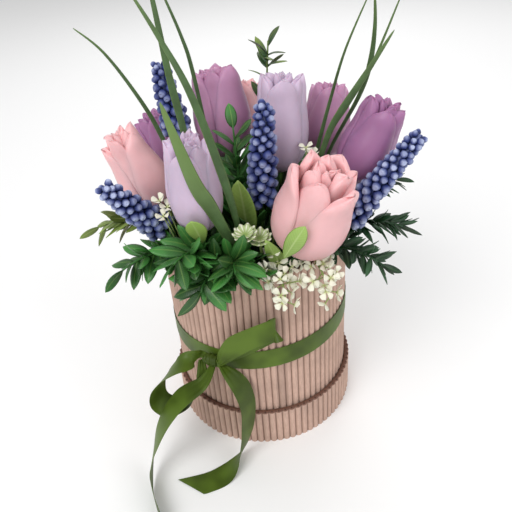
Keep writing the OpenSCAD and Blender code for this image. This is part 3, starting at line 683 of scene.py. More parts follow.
def strip_profile(width, pleat, folds):
    """Section of a ribbon for each row: a flat loop with thicker selvedges, waved where it is gathered.

    x runs from edge to edge as a squared-up cosine, y is half the thickness on either face plus a cosine wave of
    the given folds whose height is the row's pleat.
    """
    phi = ring_angles(STRIP_RING)[None]
    x = powered(np.cos(phi), 0.75)
    half = RIBBON_T / 2 * (0.72 + 0.28 * ease((np.abs(x) - 0.86) / 0.08))
    y = half * powered(np.sin(phi), 0.35)
    wave = pleat[:, None] * np.cos(folds * np.pi * x)
    return np.stack([x * width[:, None] / 2, y + wave], -1)


def strip(points, across, leave, comes_back, pleat, slant=0.0):
    """Ribbon through its points: its full width narrows at the knot, where it folds into pleats.

    A slow sideways sway and a slanted cut at the free end are added to the path's rings.
    """
    path = smooth(points, STRIP_STEPS)
    turn = smooth([a[:3] for a in across], STRIP_STEPS)
    share = smooth([[a[3]] for a in across], STRIP_STEPS)[:, 0]
    width = RIBBON_W * np.clip(share, 0.28, 1.0)
    gather = pleat * np.clip(1 - share, 0, 1)
    profile = strip_profile(width, gather, 3)
    run = np.linspace(0, 1, len(path))[:, None]
    x = profile[..., 0] / (RIBBON_W / 2)
    swayed = RIBBON_SWAY * ease((share[:, None] - 0.8) / 0.2) * np.cos(2.2 * x + 9 * run)
    profile[..., 1] += swayed * (0.4 + 0.6 * x**2)
    rings = sweep(path, profile, turn, leave, -leave if comes_back else None)
    if slant:
        end = ease((run - 0.9) / 0.1)
        rings = rings + (slant * x * end)[..., None] * tangents(path)[-1]
    return rings


def tail_path(points, across, start_z):
    """A tail's points with the height share turned to millimetres below the knot, never below the table."""
    p = np.array(points, float)
    stand = 0.4 + RIBBON_T / 2 + np.abs(np.array(across)[:, 2]) * RIBBON_W / 2
    p[:, 2] = np.maximum(stand, p[:, 2] * start_z) - start_z
    return p


def band_rings():
    """Ribbon band: a strip carried round the box in a plane tilted by a few degrees, its edges on the flutes."""
    a = ring_angles(BAND_STEPS)
    rise = np.tan(np.radians(BAND_TILT)) * np.cos(a - np.radians(BAND_TURN))
    phi = ring_angles(28)[None]
    x = powered(np.cos(phi), 0.75)
    half = RIBBON_T / 2 * powered(np.sin(phi), 0.35)
    r = BAND_R + RIBBON_T / 2 + 0.06 + half * 0.9 + 0.05 * np.cos(FLUTES * a)[:, None] * np.abs(x) ** 3
    z = BAND_Z + BAND_R * rise[:, None] + x * RIBBON_W / 2
    return polar(r, a[:, None], z)


def knot_rings():
    """Knot: a barrel wound round the crossing, its turns folded into ridges that run round it.

    The radius at a place along the barrel is the CAD arc, less a shallow groove between two folds that
    drifts sideways as it goes round.
    """
    t = np.linspace(-1, 1, KNOT_ROWS)[:, None]
    phi = ring_angles(48)[None]
    barrel = KNOT_R * (0.72 + 0.28 * np.sqrt(np.clip(1 - t**2, 0, 1)))
    groove = 0.5 + 0.5 * np.cos(TAU * (1.6 * t + 0.22 * np.sin(phi + 0.7)))
    r = barrel * (1 - 0.13 * groove * (1 - t**6))
    centre = t[..., None] * (KNOT_LEN / 2) * KNOT_RUN + KNOT_AT
    up = np.array([0.0, 0.0, 1.0])
    side = np.cross(up, KNOT_RUN)
    return centre + (r * np.cos(phi))[..., None] * side + (r * np.sin(phi))[..., None] * np.cross(KNOT_RUN, side)


# ---- Flowers ----

BUD = smooth([[0, 0.1], [0.05, 0.45], [0.17, 0.82], [0.38, 1], [0.64, 0.96], [0.85, 0.78], [1, 0.6]], 12)
PETAL_ROWS = 30
PETAL_RING = 30


def petal(length, radius, mouth, centre, half_width, top, thick, blunt, lap=0.0, inset=0.0, flare=0.0, skew=0.0,
          ruffle=0.3, low=0.0):
    """Rings of one cast petal on a bud.

    The bud's radius follows its profile and closes to the mouth's share. Across, a petal spans its half
    width either side of its centre bearing, and rounds off to its tip as the root of 1 - s to the power
    blunt; skew leans the tip to one side and drops the other shoulder. Its section is a thick rounded bar,
    one edge lapped outward and the other inward. The lip swells, and the tip flares, ruffles and curls in.
    A petal starts at the low share of the bud's height.
    """
    s = np.linspace(0, 1, PETAL_ROWS)[:, None]
    s = 1 - (1 - s) ** 1.5
    up = low + (1 - low) * s
    phi = ring_angles(PETAL_RING)[None]
    w = powered(np.cos(phi), 0.75)
    face = powered(np.sin(phi), 0.6)
    fall = np.interp(up, BUD[:, 0], BUD[:, 1])
    blend = ease((up - 0.45) / 0.55)
    share = fall * (1 - blend) + blend * mouth
    spread = half_width * np.sqrt(np.clip(1 - s**blunt, 0.0004, 1)) * np.clip((s + 0.02) / 0.06, 0, 1) ** 0.5
    lip = 1 + 0.3 * ease((s - 0.7) / 0.25)
    bulk = thick * lip * np.sqrt(np.clip(1 - s**20, 0, 1)) * np.clip(s / 0.04, 0.1, 1)
    bulk = np.clip(bulk, 0.1, 1.1 * np.radians(spread) * radius * share + 0.1)
    a = np.radians(centre + w * spread + 14 * up + skew * s**3)
    r = radius * share * (1 - 0.05 * w**2 * ease(s / 0.3)) - inset * ease(up / 0.12)
    r = r + lap * w * ease(s / 0.25) + flare * radius * ease((s - 0.6) / 0.4) ** 1.3
    r = r + 0.25 * np.cos(3.2 * w + centre) * ease(s / 0.4)
    r = r + ruffle * np.cos(3.6 * w + centre) * ease((s - 0.6) / 0.4)
    r = r - 0.07 * radius * ease((s - 0.86) / 0.14)
    r = np.maximum(r - bulk / 2 * (1 + face), 0.3)
    z = length * (top * up - 0.03 * w**2 * ease((s - 0.4) / 0.6) + 0.003 * skew * w * ease((s - 0.5) / 0.5))
    z = z + ruffle * 0.5 * np.cos(3.5 * w + 2.0 * centre) * ease((s - 0.8) / 0.2)
    return polar(r, a, z)


# Of each head: turn of the petals, heights of the three outer tips and how far each leans, mouth, flare,
# bluntness of the tips
TULIP_CASTS = [
    [-30, (0.96, 0.95, 0.985), (10, 0, 0), 0.88, 0.07, 2.8],
    [110, (0.93, 0.93, 0.94), (4, -3, 5), 0.88, 0.0, 5],
    [18, (0.9, 0.92, 0.91), (-4, 4, 2), 0.84, 0.0, 5],
    [74, (0.98, 0.99, 0.98), (4, -5, 4), 0.88, 0.0, 3.8],
    [70, (0.96, 0.97, 0.96), (4, 4, -3), 0.9, 0.0, 5],
    [117, (0.93, 0.94, 0.92), (-4, 3, 5), 0.9, 0.0, 4.5],
    [15, (0.92, 0.93, 0.91), (4, -4, 3), 0.86, 0.0, 4],
    [70, (0.94, 0.93, 0.95), (4, -4, 3), 0.86, 0.0, 4.5],
    [30, (0.94, 0.95, 0.93), (-3, 4, -4), 0.86, 0.0, 4.5],
]


# Whorls inside the outer petals. Shares of the head's radius and mouth, turn and how far it strays, half
# width, drop of the tips and how far it strays, thickness, lean, then the rest of a petal's shape
WHORLS = (
    (0.9, 0.98, 60, 4, 54, 0.03, 0.02, 4.6, 5, {"lap": 0.5, "inset": 0.5, "blunt": 4.2}),
    (0.68, 0.92, 15, 12, 58, 0.02, 0.025, 5.2, 6, {"lap": 0.8, "blunt": 4, "ruffle": 0.4, "low": 0.4}),
    (0.42, 0.9, 75, 15, 62, 0.02, 0.025, 5.2, 6, {"lap": 0.6, "blunt": 4, "ruffle": 0.4, "low": 0.45}),
)
# A head wider than this is domed: its inner petals stand above its outer ones
WIDE_HEAD = 20


def tulip_rings(p, cast, seed):
    """All petals of one head: three lapped outer ones, three whorls of three within, and a closed heart."""
    length, radius = p.length, p.radius
    turn, tops, leans, mouth, flare, blunt = cast
    draw = np.random.default_rng(seed)
    wob = draw.uniform(-1, 1, (14, 3))
    crown = 1.03 if radius > WIDE_HEAD else 1.0
    petals = [
        petal(length, radius, mouth, turn + 120 * k, 62 + 3 * wob[k, 1], tops[k], 4.2, blunt, lap=0.7, flare=flare,
              skew=leans[k])
        for k in range(3)
    ]
    for n, (size, closing, at, stray, half_width, drop, vary, thick, lean, shape) in enumerate(WHORLS):
        for k in range(3):
            w = wob[3 * n + 3 + k]
            petals.append(petal(
                length, radius * size, mouth * closing, turn + at + 120 * k + stray * w[0], half_width,
                crown - drop + vary * w[2], thick, skew=lean * w[1], **shape,
            ))
    heart = petal(length, radius * 0.22, mouth * 0.9, turn + 30, 178, crown - 0.03, 3.0, 5, ruffle=0.4, low=0.45)
    rings = np.stack([*petals, heart])
    rings[..., 2] += p.rise
    tones = np.concatenate([0.3 + 0.2 * wob[:3, 2], 0.5 + 0.2 * wob[3:6, 2], 0.75 + 0.2 * wob[6:12, 0], [0.8]])
    return plant(rings, p), tones


# Share along a bell and share of its radius: neck, belly, shoulder, mouth rim, inside of the mouth
BELL = np.array([[0.0, 0.45], [0.22, 0.86], [0.5, 1.0], [0.76, 0.86], [0.93, 0.6], [1.0, 0.42], [0.9, 0.2]])


def bell_rings(at, way, radius, length):
    """Small bells: a profile turned round each bell's own way, for every bell at once."""
    helper = np.where(np.abs(way[:, 2:]) > 0.9, [[1.0, 0.0, 0.0]], [[0.0, 0.0, 1.0]])
    side = unit(np.cross(helper, way))
    other = np.cross(way, side)
    phi = ring_angles(9)
    lobed = BELL[:, 1][:, None] * (1 + 0.1 * np.cos(3 * phi)[None] * (BELL[:, 0][:, None] > 0.7))
    circle = side[:, None] * np.cos(phi)[None, :, None] + other[:, None] * np.sin(phi)[None, :, None]
    rings = lobed[None, :, :, None] * circle[:, None] * radius[:, None, None, None]
    return at[:, None, None] + rings + (BELL[:, 0][None] * length[:, None])[..., None, None] * way[:, None, None]


def muscari_bells(p, count, seed):
    """Bells spiralling up a tapering core by the golden angle, drooping low down and upright at the top."""
    length = p.length
    draw = np.random.default_rng(seed)
    i = np.arange(count)
    f = (i + 0.5) / count
    z = 1.0 + (length - 2.2) * f
    core = 2 * FLORET_R + (0.8 * FLORET_R - 2 * FLORET_R) * z / length
    size = FLORET_R * (1.1 - 0.42 * f) * draw.uniform(0.9, 1.1, count)
    a = np.radians(i * GOLDEN_ANGLE + draw.uniform(-9, 9, count))
    tip_up = -0.35 + 1.3 * f**3 + draw.uniform(-0.12, 0.12, count)
    way = unit(polar(1, a, tip_up))
    at = polar(0.72 * core, a, z + p.rise)
    foot_at, leaned = planted(p)
    rings = bell_rings(at @ leaned.T + foot_at, way @ leaned.T, size, size * 2.15)
    return rings, draw.uniform(0, 1, count)


def muscari_core(p):
    """Tapering core under the bells, a plain turned profile."""
    s = np.array([0.0, 0.02, 0.3, 0.7, 0.97, 1.0])
    r = np.array([1.5, 3.6, 3.4, 2.4, 1.4, 0.5])
    return plant(polar(r[:, None], ring_angles(16), (p.rise + s * p.length)[:, None]), p)


# ---- Leaves ----


def leaf_rings(base, turn, length, width, arch, fold, rows=9, ring=8, swell=0.7, point=0.75, twist=None,
               thick=LEAF_T):
    """Leaves as closed creased skins, all at once.

    A leaf runs up its own +Z and arches towards its own +X. Its half width is s to the power swell times
    1 - s to the power point, scaled to 1 at its widest. A ring point lies x half widths across; its edges
    are lifted by fold times that distance, and half the thickness lies on either face.
    """
    k = len(base)
    s = np.linspace(0, 1, rows)
    shape = s**swell * (1 - s) ** point
    shape = np.maximum(shape / shape.max(), 0.05)
    phi = ring_angles(ring)
    x, e = np.cos(phi), np.sin(phi)
    length, width = np.broadcast_to(length, k)[:, None], np.broadcast_to(width, k)[:, None]
    arch, fold = np.broadcast_to(arch, k)[:, None], np.broadcast_to(fold, k)[:, None]
    along = length * s * (1 - 0.3 * arch * s)
    lift = arch * length * s * s
    half = shape[None] * width / 2
    out = half[..., None] * x
    up = fold[..., None] * np.abs(out) + (thick / 2 * (1 - 0.5 * s))[None, :, None] * e
    if twist is not None:
        t = np.radians(np.broadcast_to(twist, k))[:, None, None] * s[None, :, None]
        out, up = out * np.cos(t) - up * np.sin(t), out * np.sin(t) + up * np.cos(t)
    local = np.stack([lift[..., None] + up, -out, along[..., None] + 0 * out], -1)
    return turned_to(local, turn, base)


def stem_lean(p, s):
    """Lean of a spray's stem in degrees, at shares of its length."""
    return p.lean + (p.last_lean - p.lean) * s


def stem_point(p, s):
    """Place along a stem that bends evenly from its first lean to its last, in its own vertical plane."""
    bend = p.length / np.radians(p.last_lean - p.lean)
    lean = np.radians(stem_lean(p, s))
    first = math.radians(p.lean)
    out, up = bend * (math.cos(first) - np.cos(lean)), bend * (np.sin(lean) - math.sin(first))
    return np.stack([out, 0 * lean, up], -1)


def on_stem(p, points):
    """Points of a stem that heads along +X, turned to the spray's heading and moved to its foot."""
    return points @ turn_z(p.heading)[0].T + foot(p.bearing, p.inset)


def arched_stem(p):
    """Stem of a spray with its root in the foam: a circle carried along the bend, tapering by half."""
    s = np.linspace(0, 1, 15)
    lean = stem_lean(p, np.append(0, s))
    down = np.array([math.sin(math.radians(p.lean)), 0, math.cos(math.radians(p.lean))])
    at = np.vstack([-PICK_IN * down, stem_point(p, s)])
    r = PICK_D / 2 * (1 - 0.5 * np.append(0, s))[:, None]
    phi = ring_angles(8)[None]
    c, n = np.cos(np.radians(lean))[:, None], np.sin(np.radians(lean))[:, None]
    ring = np.stack([r * np.cos(phi) * c, r * np.sin(phi), -r * np.cos(phi) * n], -1)
    return on_stem(p, at[:, None] + ring)


def spray_leaves(p, extra, seed, slim, reach, about_more):
    """Leaves to both sides of an arched stem and one at its tip, with extra ones turned up and down.

    The extra leaves are slimmer by a factor and run to a share of the stem. About the stem they stand by
    turns at one bearing and another, each give or take the third number.
    """
    draw = np.random.default_rng(seed)
    count = p.leaves
    last = count - 1
    i = np.arange(count)
    s = np.where(i == last, 0.97, p.start + (0.94 - p.start) * i / last)
    even = i % 2 == 0
    about = np.where(i == last, 0, np.where(even, 90, -90) + 24 * np.sin(np.radians(i * 97)))
    spread = np.where(i == last, 0, p.spread)
    roll = p.roll * np.where(even, 1, -1)
    shrink = 1 - 0.35 * np.abs(i / last - 0.4)
    if extra:
        j = np.arange(extra)
        s = np.append(s, p.start * 0.6 + (reach - p.start * 0.6) * (j + 0.5) / extra)
        stray = draw.uniform(-1, 1, extra) * about_more[2]
        about = np.append(about, np.where(j % 2 == 0, *about_more[:2]) + stray)
        spread = np.append(spread, p.spread * draw.uniform(0.5, 1.05, extra))
        roll = np.append(roll, draw.uniform(-60, 60, extra))
        shrink = np.append(shrink, draw.uniform(0.7, 1.0, extra))
    k = len(s)
    turn = turn_z(p.heading) @ turn_y(stem_lean(p, s)) @ turn_z(about)
    turn = turn @ turn_y(spread + draw.uniform(-8, 8, k)) @ turn_z(roll)
    base = on_stem(p, stem_point(p, s))
    wide = p.leaf_width * shrink * np.where(np.arange(k) < count, 1, slim)
    long, arch = LEAF_TRIM * p.leaf_length * shrink, 0.2 + draw.uniform(-0.15, 0.25, k)
    rings = leaf_rings(base, turn, long, wide, arch, 0.25, twist=draw.uniform(-40, 40, k))
    return rings, draw.uniform(0, 1, k)


def understory(p, count, seed):
    """Narrow-footed leaves rising from the foam in the sector round a spray, leaning outward."""
    draw = np.random.default_rng(seed)
    bearing = p.bearing + draw.uniform(-28, 28, count)
    out = np.sqrt(draw.uniform(0.02, 0.9, count))
    at = np.stack([foot(b, FOAM_R * (1 - o)) for b, o in zip(bearing, out)])
    turn = turn_z(bearing + draw.uniform(-60, 60, count)) @ turn_y(draw.uniform(2, 22, count) + 38 * out**2)
    turn = turn @ turn_z(draw.uniform(-40, 40, count))
    rings = leaf_rings(at, turn, draw.uniform(24, 36, count) + 18 * (1 - out), draw.uniform(7, 11, count),
                       0.1 + draw.uniform(-0.08, 0.22, count), 0.25, swell=1.7, twist=draw.uniform(-30, 30, count))
    return rings, draw.uniform(0.2, 1, count)


def blade_rings(points, width, peak):
    """Grass blade: a creased lens carried along its points, widest at a share of its length.

    The half width grows evenly to the peak and falls as the power 0.7 of what is left; the edges are
    folded up by a seventh of the width.
    """
    b = np.array(points, float)
    root = b[0] - BLADE_IN * unit(b[1] - b[0])
    path = smooth(np.vstack([root, b]), BLADE_STEPS)
    last = len(path) - 1
    i = np.arange(last + 1)
    s = np.maximum(0, i - BLADE_STEPS) / (last - BLADE_STEPS)
    wide = np.where(s < peak, BLADE_ROOT_W + (width - BLADE_ROOT_W) * s / peak,
                    0.4 + (width - 0.4) * np.clip((1 - s) / (1 - peak), 0, 1) ** 0.7)
    thick = np.where(s == 0, BLADE_ROOT_W / 2, BLADE_T * (1 - 0.4 * s))
    phi = ring_angles(12)[None]
    x = np.cos(phi)
    crease = 0.14 * (np.abs(x) - 0.5) * wide[:, None] * ease(s / 0.15)[:, None]
    profile = np.stack([x * wide[:, None] / 2, np.sin(phi) * thick[:, None] / 2 + crease], -1)
    return sweep(path, profile, np.array([1.0, 0.0, 0.0]))


def rosette_rings(q, layer):
    """Ruffled cup: a closed disc whose rim waves up and down ten times and in and out as often.

    Rows run under the cup from its heart to its rim and back over the top. Height rises with the square
    of the distance out; the wave grows with the cube of it.
    """
    steps = np.linspace(0.12, 1, 9)
    share = np.append(steps, steps[::-1])[:, None]
    above = np.append(np.zeros(9), np.ones(9))[:, None]
    phi = ring_angles(80)[None]
    radius = q.radius * (1.12 - 0.3 * layer)
    wave = np.cos(RUFFLES * phi + 1.3 * layer + 0.5 * np.sin(3 * phi)) * share**3
    r = radius * share * (1 + 0.07 * wave)
    z = q.rise - 1 + 1.1 * layer + 2.4 * share**2 + 0.55 * wave + 0.35 * above
    return plant(polar(r, phi, z), q)


def pin_rings(p, height):
    """Straight pin from its root in the foam to a height along its own way."""
    rows = np.array([-PICK_IN, 0, height / 2, height])
    taper = np.array([1, 1, 0.9, 0.75]) * PICK_D / 2
    return plant(polar(taper[:, None], ring_angles(12), rows[:, None]), p)


def florets_at(base, turn, reach, draw):
    """Florets, all at once: each a thin stalk of its own reach under four narrow-footed, blunt petals."""
    count = len(base)
    stalks = turned_to(polar(0.35, ring_angles(6), np.outer(reach, [0, 1])[..., None]), turn, base)
    lobes = 4
    k = np.repeat(np.arange(count), lobes)
    about = np.tile(np.arange(lobes) * 360 / lobes, count) + np.repeat(draw.uniform(0, 90, count), lobes)
    about = about + draw.uniform(-9, 9, len(k))
    open_by = np.repeat(draw.uniform(62, 86, count), lobes) + draw.uniform(-9, 9, len(k))
    petal_turn = turn[k] @ turn_z(about) @ turn_y(open_by)
    top = base[k] + np.einsum("kab,kb->ka", turn[k], np.stack([0 * reach, 0 * reach, reach - 0.1], -1)[k])
    size = np.repeat(draw.uniform(0.85, 1.12, count), lobes)
    petals = leaf_rings(top, petal_turn, 5.0 * size, 4.3 * size, -0.2, 0.16, rows=8, ring=8,
                        swell=1.25, point=0.3, thick=0.5)
    return stalks, petals, np.repeat(draw.uniform(0, 1, count), lobes)


def floret_parts(p, more, seed):
    """Florets along an arched stem, with more of them spread loosely about it on longer stalks."""
    draw = np.random.default_rng(seed)
    count = p.leaves
    i = np.arange(count + more)
    own = i < count
    s = np.where(own, p.start + (1 - p.start) * i / (count - 1), draw.uniform(0.3, 0.8, count + more))
    about = np.where(own, 180 + 110 * np.sin(np.radians(i * 137.5)), draw.uniform(60, 300, count + more))
    lean = p.spread * np.where(own, 1, 1.15) + draw.uniform(-14, 14, count + more)
    turn = turn_z(p.heading) @ turn_y(stem_lean(p, s)) @ turn_z(about) @ turn_y(lean)
    base = on_stem(p, stem_point(p, s))
    return florets_at(base, turn, np.where(own, 5.0, draw.uniform(7, 12, count + more)), draw)


def aimed(way, face):
    """Turn whose Z runs along a way and whose X lies as near as can be to a facing direction."""
    z = unit(np.asarray(way, float))
    x = np.asarray(face, float)
    x = unit(x - (x * z).sum(-1, keepdims=True) * z)
    return np.stack([x, np.cross(z, x), z], -1)


# ---- Sizes and colours a user would change ----


def colour_of(name, thing, colour):
    """Colour that a user can change."""
    return FloatVectorProperty(
        name=name, description="Colour of the " + thing, subtype="COLOR", default=colour, min=0, max=1,
    )


class FlowerBoxPaper(bpy.types.PropertyGroup):
    kraft: colour_of("Kraft", "fluted paper", tint(200, 168, 152))
    board: colour_of("Board", "rolled board", tint(104, 72, 58))
    foam: colour_of("Foam", "floral foam", tint(52, 78, 44))
    fibre: FloatProperty(name="Fibre scale", description="Fibres in a metre of the paper", default=1500.0, min=200)


class FlowerBoxRibbon(bpy.types.PropertyGroup):
    satin: colour_of("Satin", "ribbon", tint(76, 97, 30))
    pleat: FloatProperty(name="Pleat depth", description="Depth of the folds at the knot in millimetres",
                         default=0.7, min=0, max=1.2)
    slant: FloatProperty(name="Slanted cut", description="How far the cut ends slant in millimetres",
                         default=4.5, min=0, max=8)


class FlowerBoxFlowers(bpy.types.PropertyGroup):
    pink: colour_of("Pink", "pink tulips", tint(228, 178, 180))
    lilac: colour_of("Lilac", "lilac tulips", tint(196, 176, 198))
    mauve: colour_of("Mauve", "mauve tulips", tint(182, 132, 166))
    purple: colour_of("Purple", "purple tulips", tint(158, 108, 150))
    navy: colour_of("Navy", "grape hyacinths", tint(48, 62, 128))
    # The pale mouth colour is partly frosting and partly painted highlight.
    bloom_and_highlight: colour_of("Bloom", "pale bloom at the bells' mouths", tint(186, 196, 228))
    bells: IntProperty(name="Bells", description="Bells on one grape hyacinth", default=92, min=40, max=200)


class FlowerBoxGreens(bpy.types.PropertyGroup):
    ruscus: colour_of("Broad leaves", "broad glossy leaves", tint(50, 104, 44))
    myrtle: colour_of("Narrow leaves", "narrow dark leaves", tint(32, 72, 40))
    olive: colour_of("Olive leaves", "olive leaves", tint(122, 146, 66))
    young: colour_of("Young leaves", "pale broad leaves", tint(140, 170, 84))
    grass: colour_of("Grass", "grass blades", tint(58, 84, 48))
    cream: colour_of("Cream", "white filler", tint(236, 234, 216))


class FlowerBoxStage(bpy.types.PropertyGroup):
    floor: colour_of("Floor", "floor", (0.93, 0.93, 0.93))
    key: FloatProperty(name="Key light", description="Power of the key light in watts", default=9.0, min=0)
    lens: FloatProperty(name="Lens", description="Focal length in millimetres", default=42.19, min=10)


# ---- Operators ----

# First random draw of each kind of piece
SEEDS = {"tulips": 100, "bells": 200, "sprays": 300, "low": 340, "florets": 400, "loose": 420}
BOX_SEAM, LID_SEAM = -80, 60
BELLS_PER_LENGTH = 60
# How much more or less of the pale mouth colour, partly painted highlight, each spike has than a random share
BLOOM_AND_HIGHLIGHT_SHIFT = (-0.15, 0.35, 0.35, -0.15)
LEAF_BASE, LEAF_PIN_H = 16.0, 18
BROAD_BLADE = 6
LOW_LEAVES = 20
MORE_FLORETS = 12
# Of each kind of spray: its leaf's finish, darker and paler colour as a share of a setting, the paler share
# raised to stand in for painted highlights, rib, gloss and slot; then its extra leaves, how slim they are, how far
# up they reach and their bearings
KINDS = {
    "ruscus": ("ruscus_leaf", ("ruscus", 0.62), ("ruscus", 1.7), tint(128, 160, 84), 0.34, "leaf_green",
               14, 1.0, 0.74, (160, 20, 50)),
    "myrtle": ("myrtle_leaf", ("myrtle", 0.55), ("myrtle", 1.25), tint(80, 116, 66), 0.38, "leaf_dark_green",
               34, 0.72, 0.96, (170, 10, 85)),
    "olive": ("olive_leaf", ("olive", 0.6), ("olive", 1.2), tint(190, 200, 130), 0.4, "leaf_olive",
              14, 1.0, 0.74, (160, 20, 50)),
    "centre": ("sprig_leaf", ("ruscus", 0.7), ("ruscus", 1.6), tint(150, 176, 96), 0.4, "leaf_green",
               6, 1.0, 0.74, (160, 20, 50)),
    "upright": ("upright_leaf", ("myrtle", 1.1), ("olive", 0.9), tint(150, 150, 84), 0.4, "leaf_dark_green",
                7, 1.0, 0.96, (155, -25, 14)),
}
SPRIGS = ("centre", "upright")
# Name, place, size and share of the key light's power of each lamp
LAMPS = (
    ("key", (-0.55, -0.75, 1.05), 0.7, 1.0),
    ("fill", (0.85, -0.6, 0.7), 0.9, 0.35),
    ("back", (0.15, 0.95, 0.9), 0.8, 0.5),
)
LAMPS_AIM = (0, 0, 0.12)
WORLD_LIGHT = 0.6
# The camera's place, and its right, up and forward directions
CAMERA_AT = (0.0, -0.33181, 0.34647)
CAMERA_RIGHT = (0.996559, -0.047972, -0.067596)
CAMERA_UP = (0.082887, 0.571995, 0.816058)
CAMERA_WAY = (0.000483, 0.818853, -0.574003)


def stand_in(node):
    """Hides a node of the frame that a made piece stands in for."""
    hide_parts(node)



class FLOWERBOX_OT_paper(bpy.types.Operator):
    """Gives the lid, the box and the foam their paper, board and foam"""

    bl_idname = "flower_box.paper"
    bl_label = "Paper, board and foam"

    def execute(self, context):
        look = context.scene.flower_box_paper
        dress(["box_wrap"], kraft_paper("kraft_box", look.kraft, RIM_Z * MM, BOX_R * MM, BOX_SEAM, look.fibre))
        pale = shade(look.kraft, 0.97)
        dress(["lid_wrap"], kraft_paper("kraft_lid", pale, LID_H * MM, LID_CREST_R * MM, LID_SEAM, look.fibre))
        dress(["box_wall", "box_bottom", "lid_rim", "lid_disc"], plain("rolled_board", "board", look.board))
        dress(["floral_foam"], plain("foam", "foam", look.foam))
        return {"FINISHED"}


class FLOWERBOX_OT_ribbon(bpy.types.Operator):
    """Makes the satin band, the knot, two loops and two tails"""

    bl_idname = "flower_box.ribbon"
    bl_label = "Satin ribbon"

    def execute(self, context):
        look = context.scene.flower_box_ribbon
        cloth = satin("olive_satin", look.satin)
        left = KNOT_AT - (KNOT_LEN / 2 + SEAT) * KNOT_RUN
        right = KNOT_AT + (KNOT_LEN / 2 + SEAT) * KNOT_RUN
        under = KNOT_AT - np.array([0, 0, KNOT_R + SEAT])
        low_right = right - np.array([0, 0, TAIL_DROP])
        left_tail = tail_path(TAIL_LEFT, TAIL_LEFT_ACROSS, under[2])
        right_tail = tail_path(TAIL_RIGHT, TAIL_RIGHT_ACROSS, low_right[2])
        strips = {
            "bow_loop_left": left + strip(LOOP_LEFT, LOOP_LEFT_ACROSS, -KNOT_RUN, True, look.pleat),
            "bow_loop_right": right + strip(LOOP_RIGHT, LOOP_RIGHT_ACROSS, KNOT_RUN, True, look.pleat),
            "bow_tail_left": under + strip(left_tail, TAIL_LEFT_ACROSS, np.array([0, 0, -1.0]), False, look.pleat,
                                           look.slant),
            "bow_tail_right": low_right + strip(right_tail, TAIL_RIGHT_ACROSS, KNOT_RUN, False, look.pleat,
                                                RIGHT_SLANT * look.slant),
        }
        for name, rings in strips.items():
            piece = skin("satin_" + name, rings, cloth)
            stand_in(name)
        band = skin("satin_band", band_rings(), cloth, closed=True)
        stand_in("ribbon_band")
        # Painted shade: the knot's satin is the ribbon's colour at 0.6, for the shade in its tight pleats.
        knot = skin("satin_knot", knot_rings(), satin("knot_satin", shade(look.satin, 0.6)))
        stand_in("bow_knot")
        return {"FINISHED"}


class FLOWERBOX_OT_tulips(bpy.types.Operator):
    """Casts nine tulip heads and finishes their stems"""

    bl_idname = "flower_box.tulips"
    bl_label = "Tulips"

    def execute(self, context):
        look = context.scene.flower_box_flowers
        casts = {name: wax("wax_" + name, getattr(look, name)) for name in sorted(set(TULIP_TINTS))}
        for i, p in enumerate(TULIPS):
            rings, tones = tulip_rings(p, TULIP_CASTS[i], SEEDS["tulips"] + i)
            head = skin(f"cast_tulip_{i + 1}", rings, casts[TULIP_TINTS[i]], tones=tones)
            stand_in(f"tulip_head_{i + 1}")
        stems = [f"tulip_stem_{i + 1}" for i in range(len(TULIPS))]
        stems += [f"muscari_stem_{i + 1}" for i in range(len(MUSCARIS))]
        dress(stems, plain("green_stems", "plastic", tint(84, 124, 62)))
        return {"FINISHED"}


class FLOWERBOX_OT_hyacinths(bpy.types.Operator):
    """Sets the bells on four grape hyacinth spikes"""

    bl_idname = "flower_box.hyacinths"
    bl_label = "Grape hyacinths"

    def execute(self, context):
        look = context.scene.flower_box_flowers
        # Half-bright navy is the painted shade in the gaps between bells.
        blue = bells("hyacinth_blue", shade(look.navy, 0.5), shade(look.navy, 1), shade(look.bloom_and_highlight, 1))
        for i, p in enumerate(MUSCARIS):
            count = int(look.bells * p.length / BELLS_PER_LENGTH)
            rings, tones = muscari_bells(p, count, SEEDS["bells"] + i)
            tones = np.clip(tones + BLOOM_AND_HIGHLIGHT_SHIFT[i], 0, 1)
            spike = merged(f"hyacinth_{i + 1}", [
                skin("hyacinth_bells", rings, blue, tones=tones),
                skin("hyacinth_core", muscari_core(p), blue, tones=[0.0]),
            ])
            stand_in(f"muscari_spike_{i + 1}")
        return {"FINISHED"}


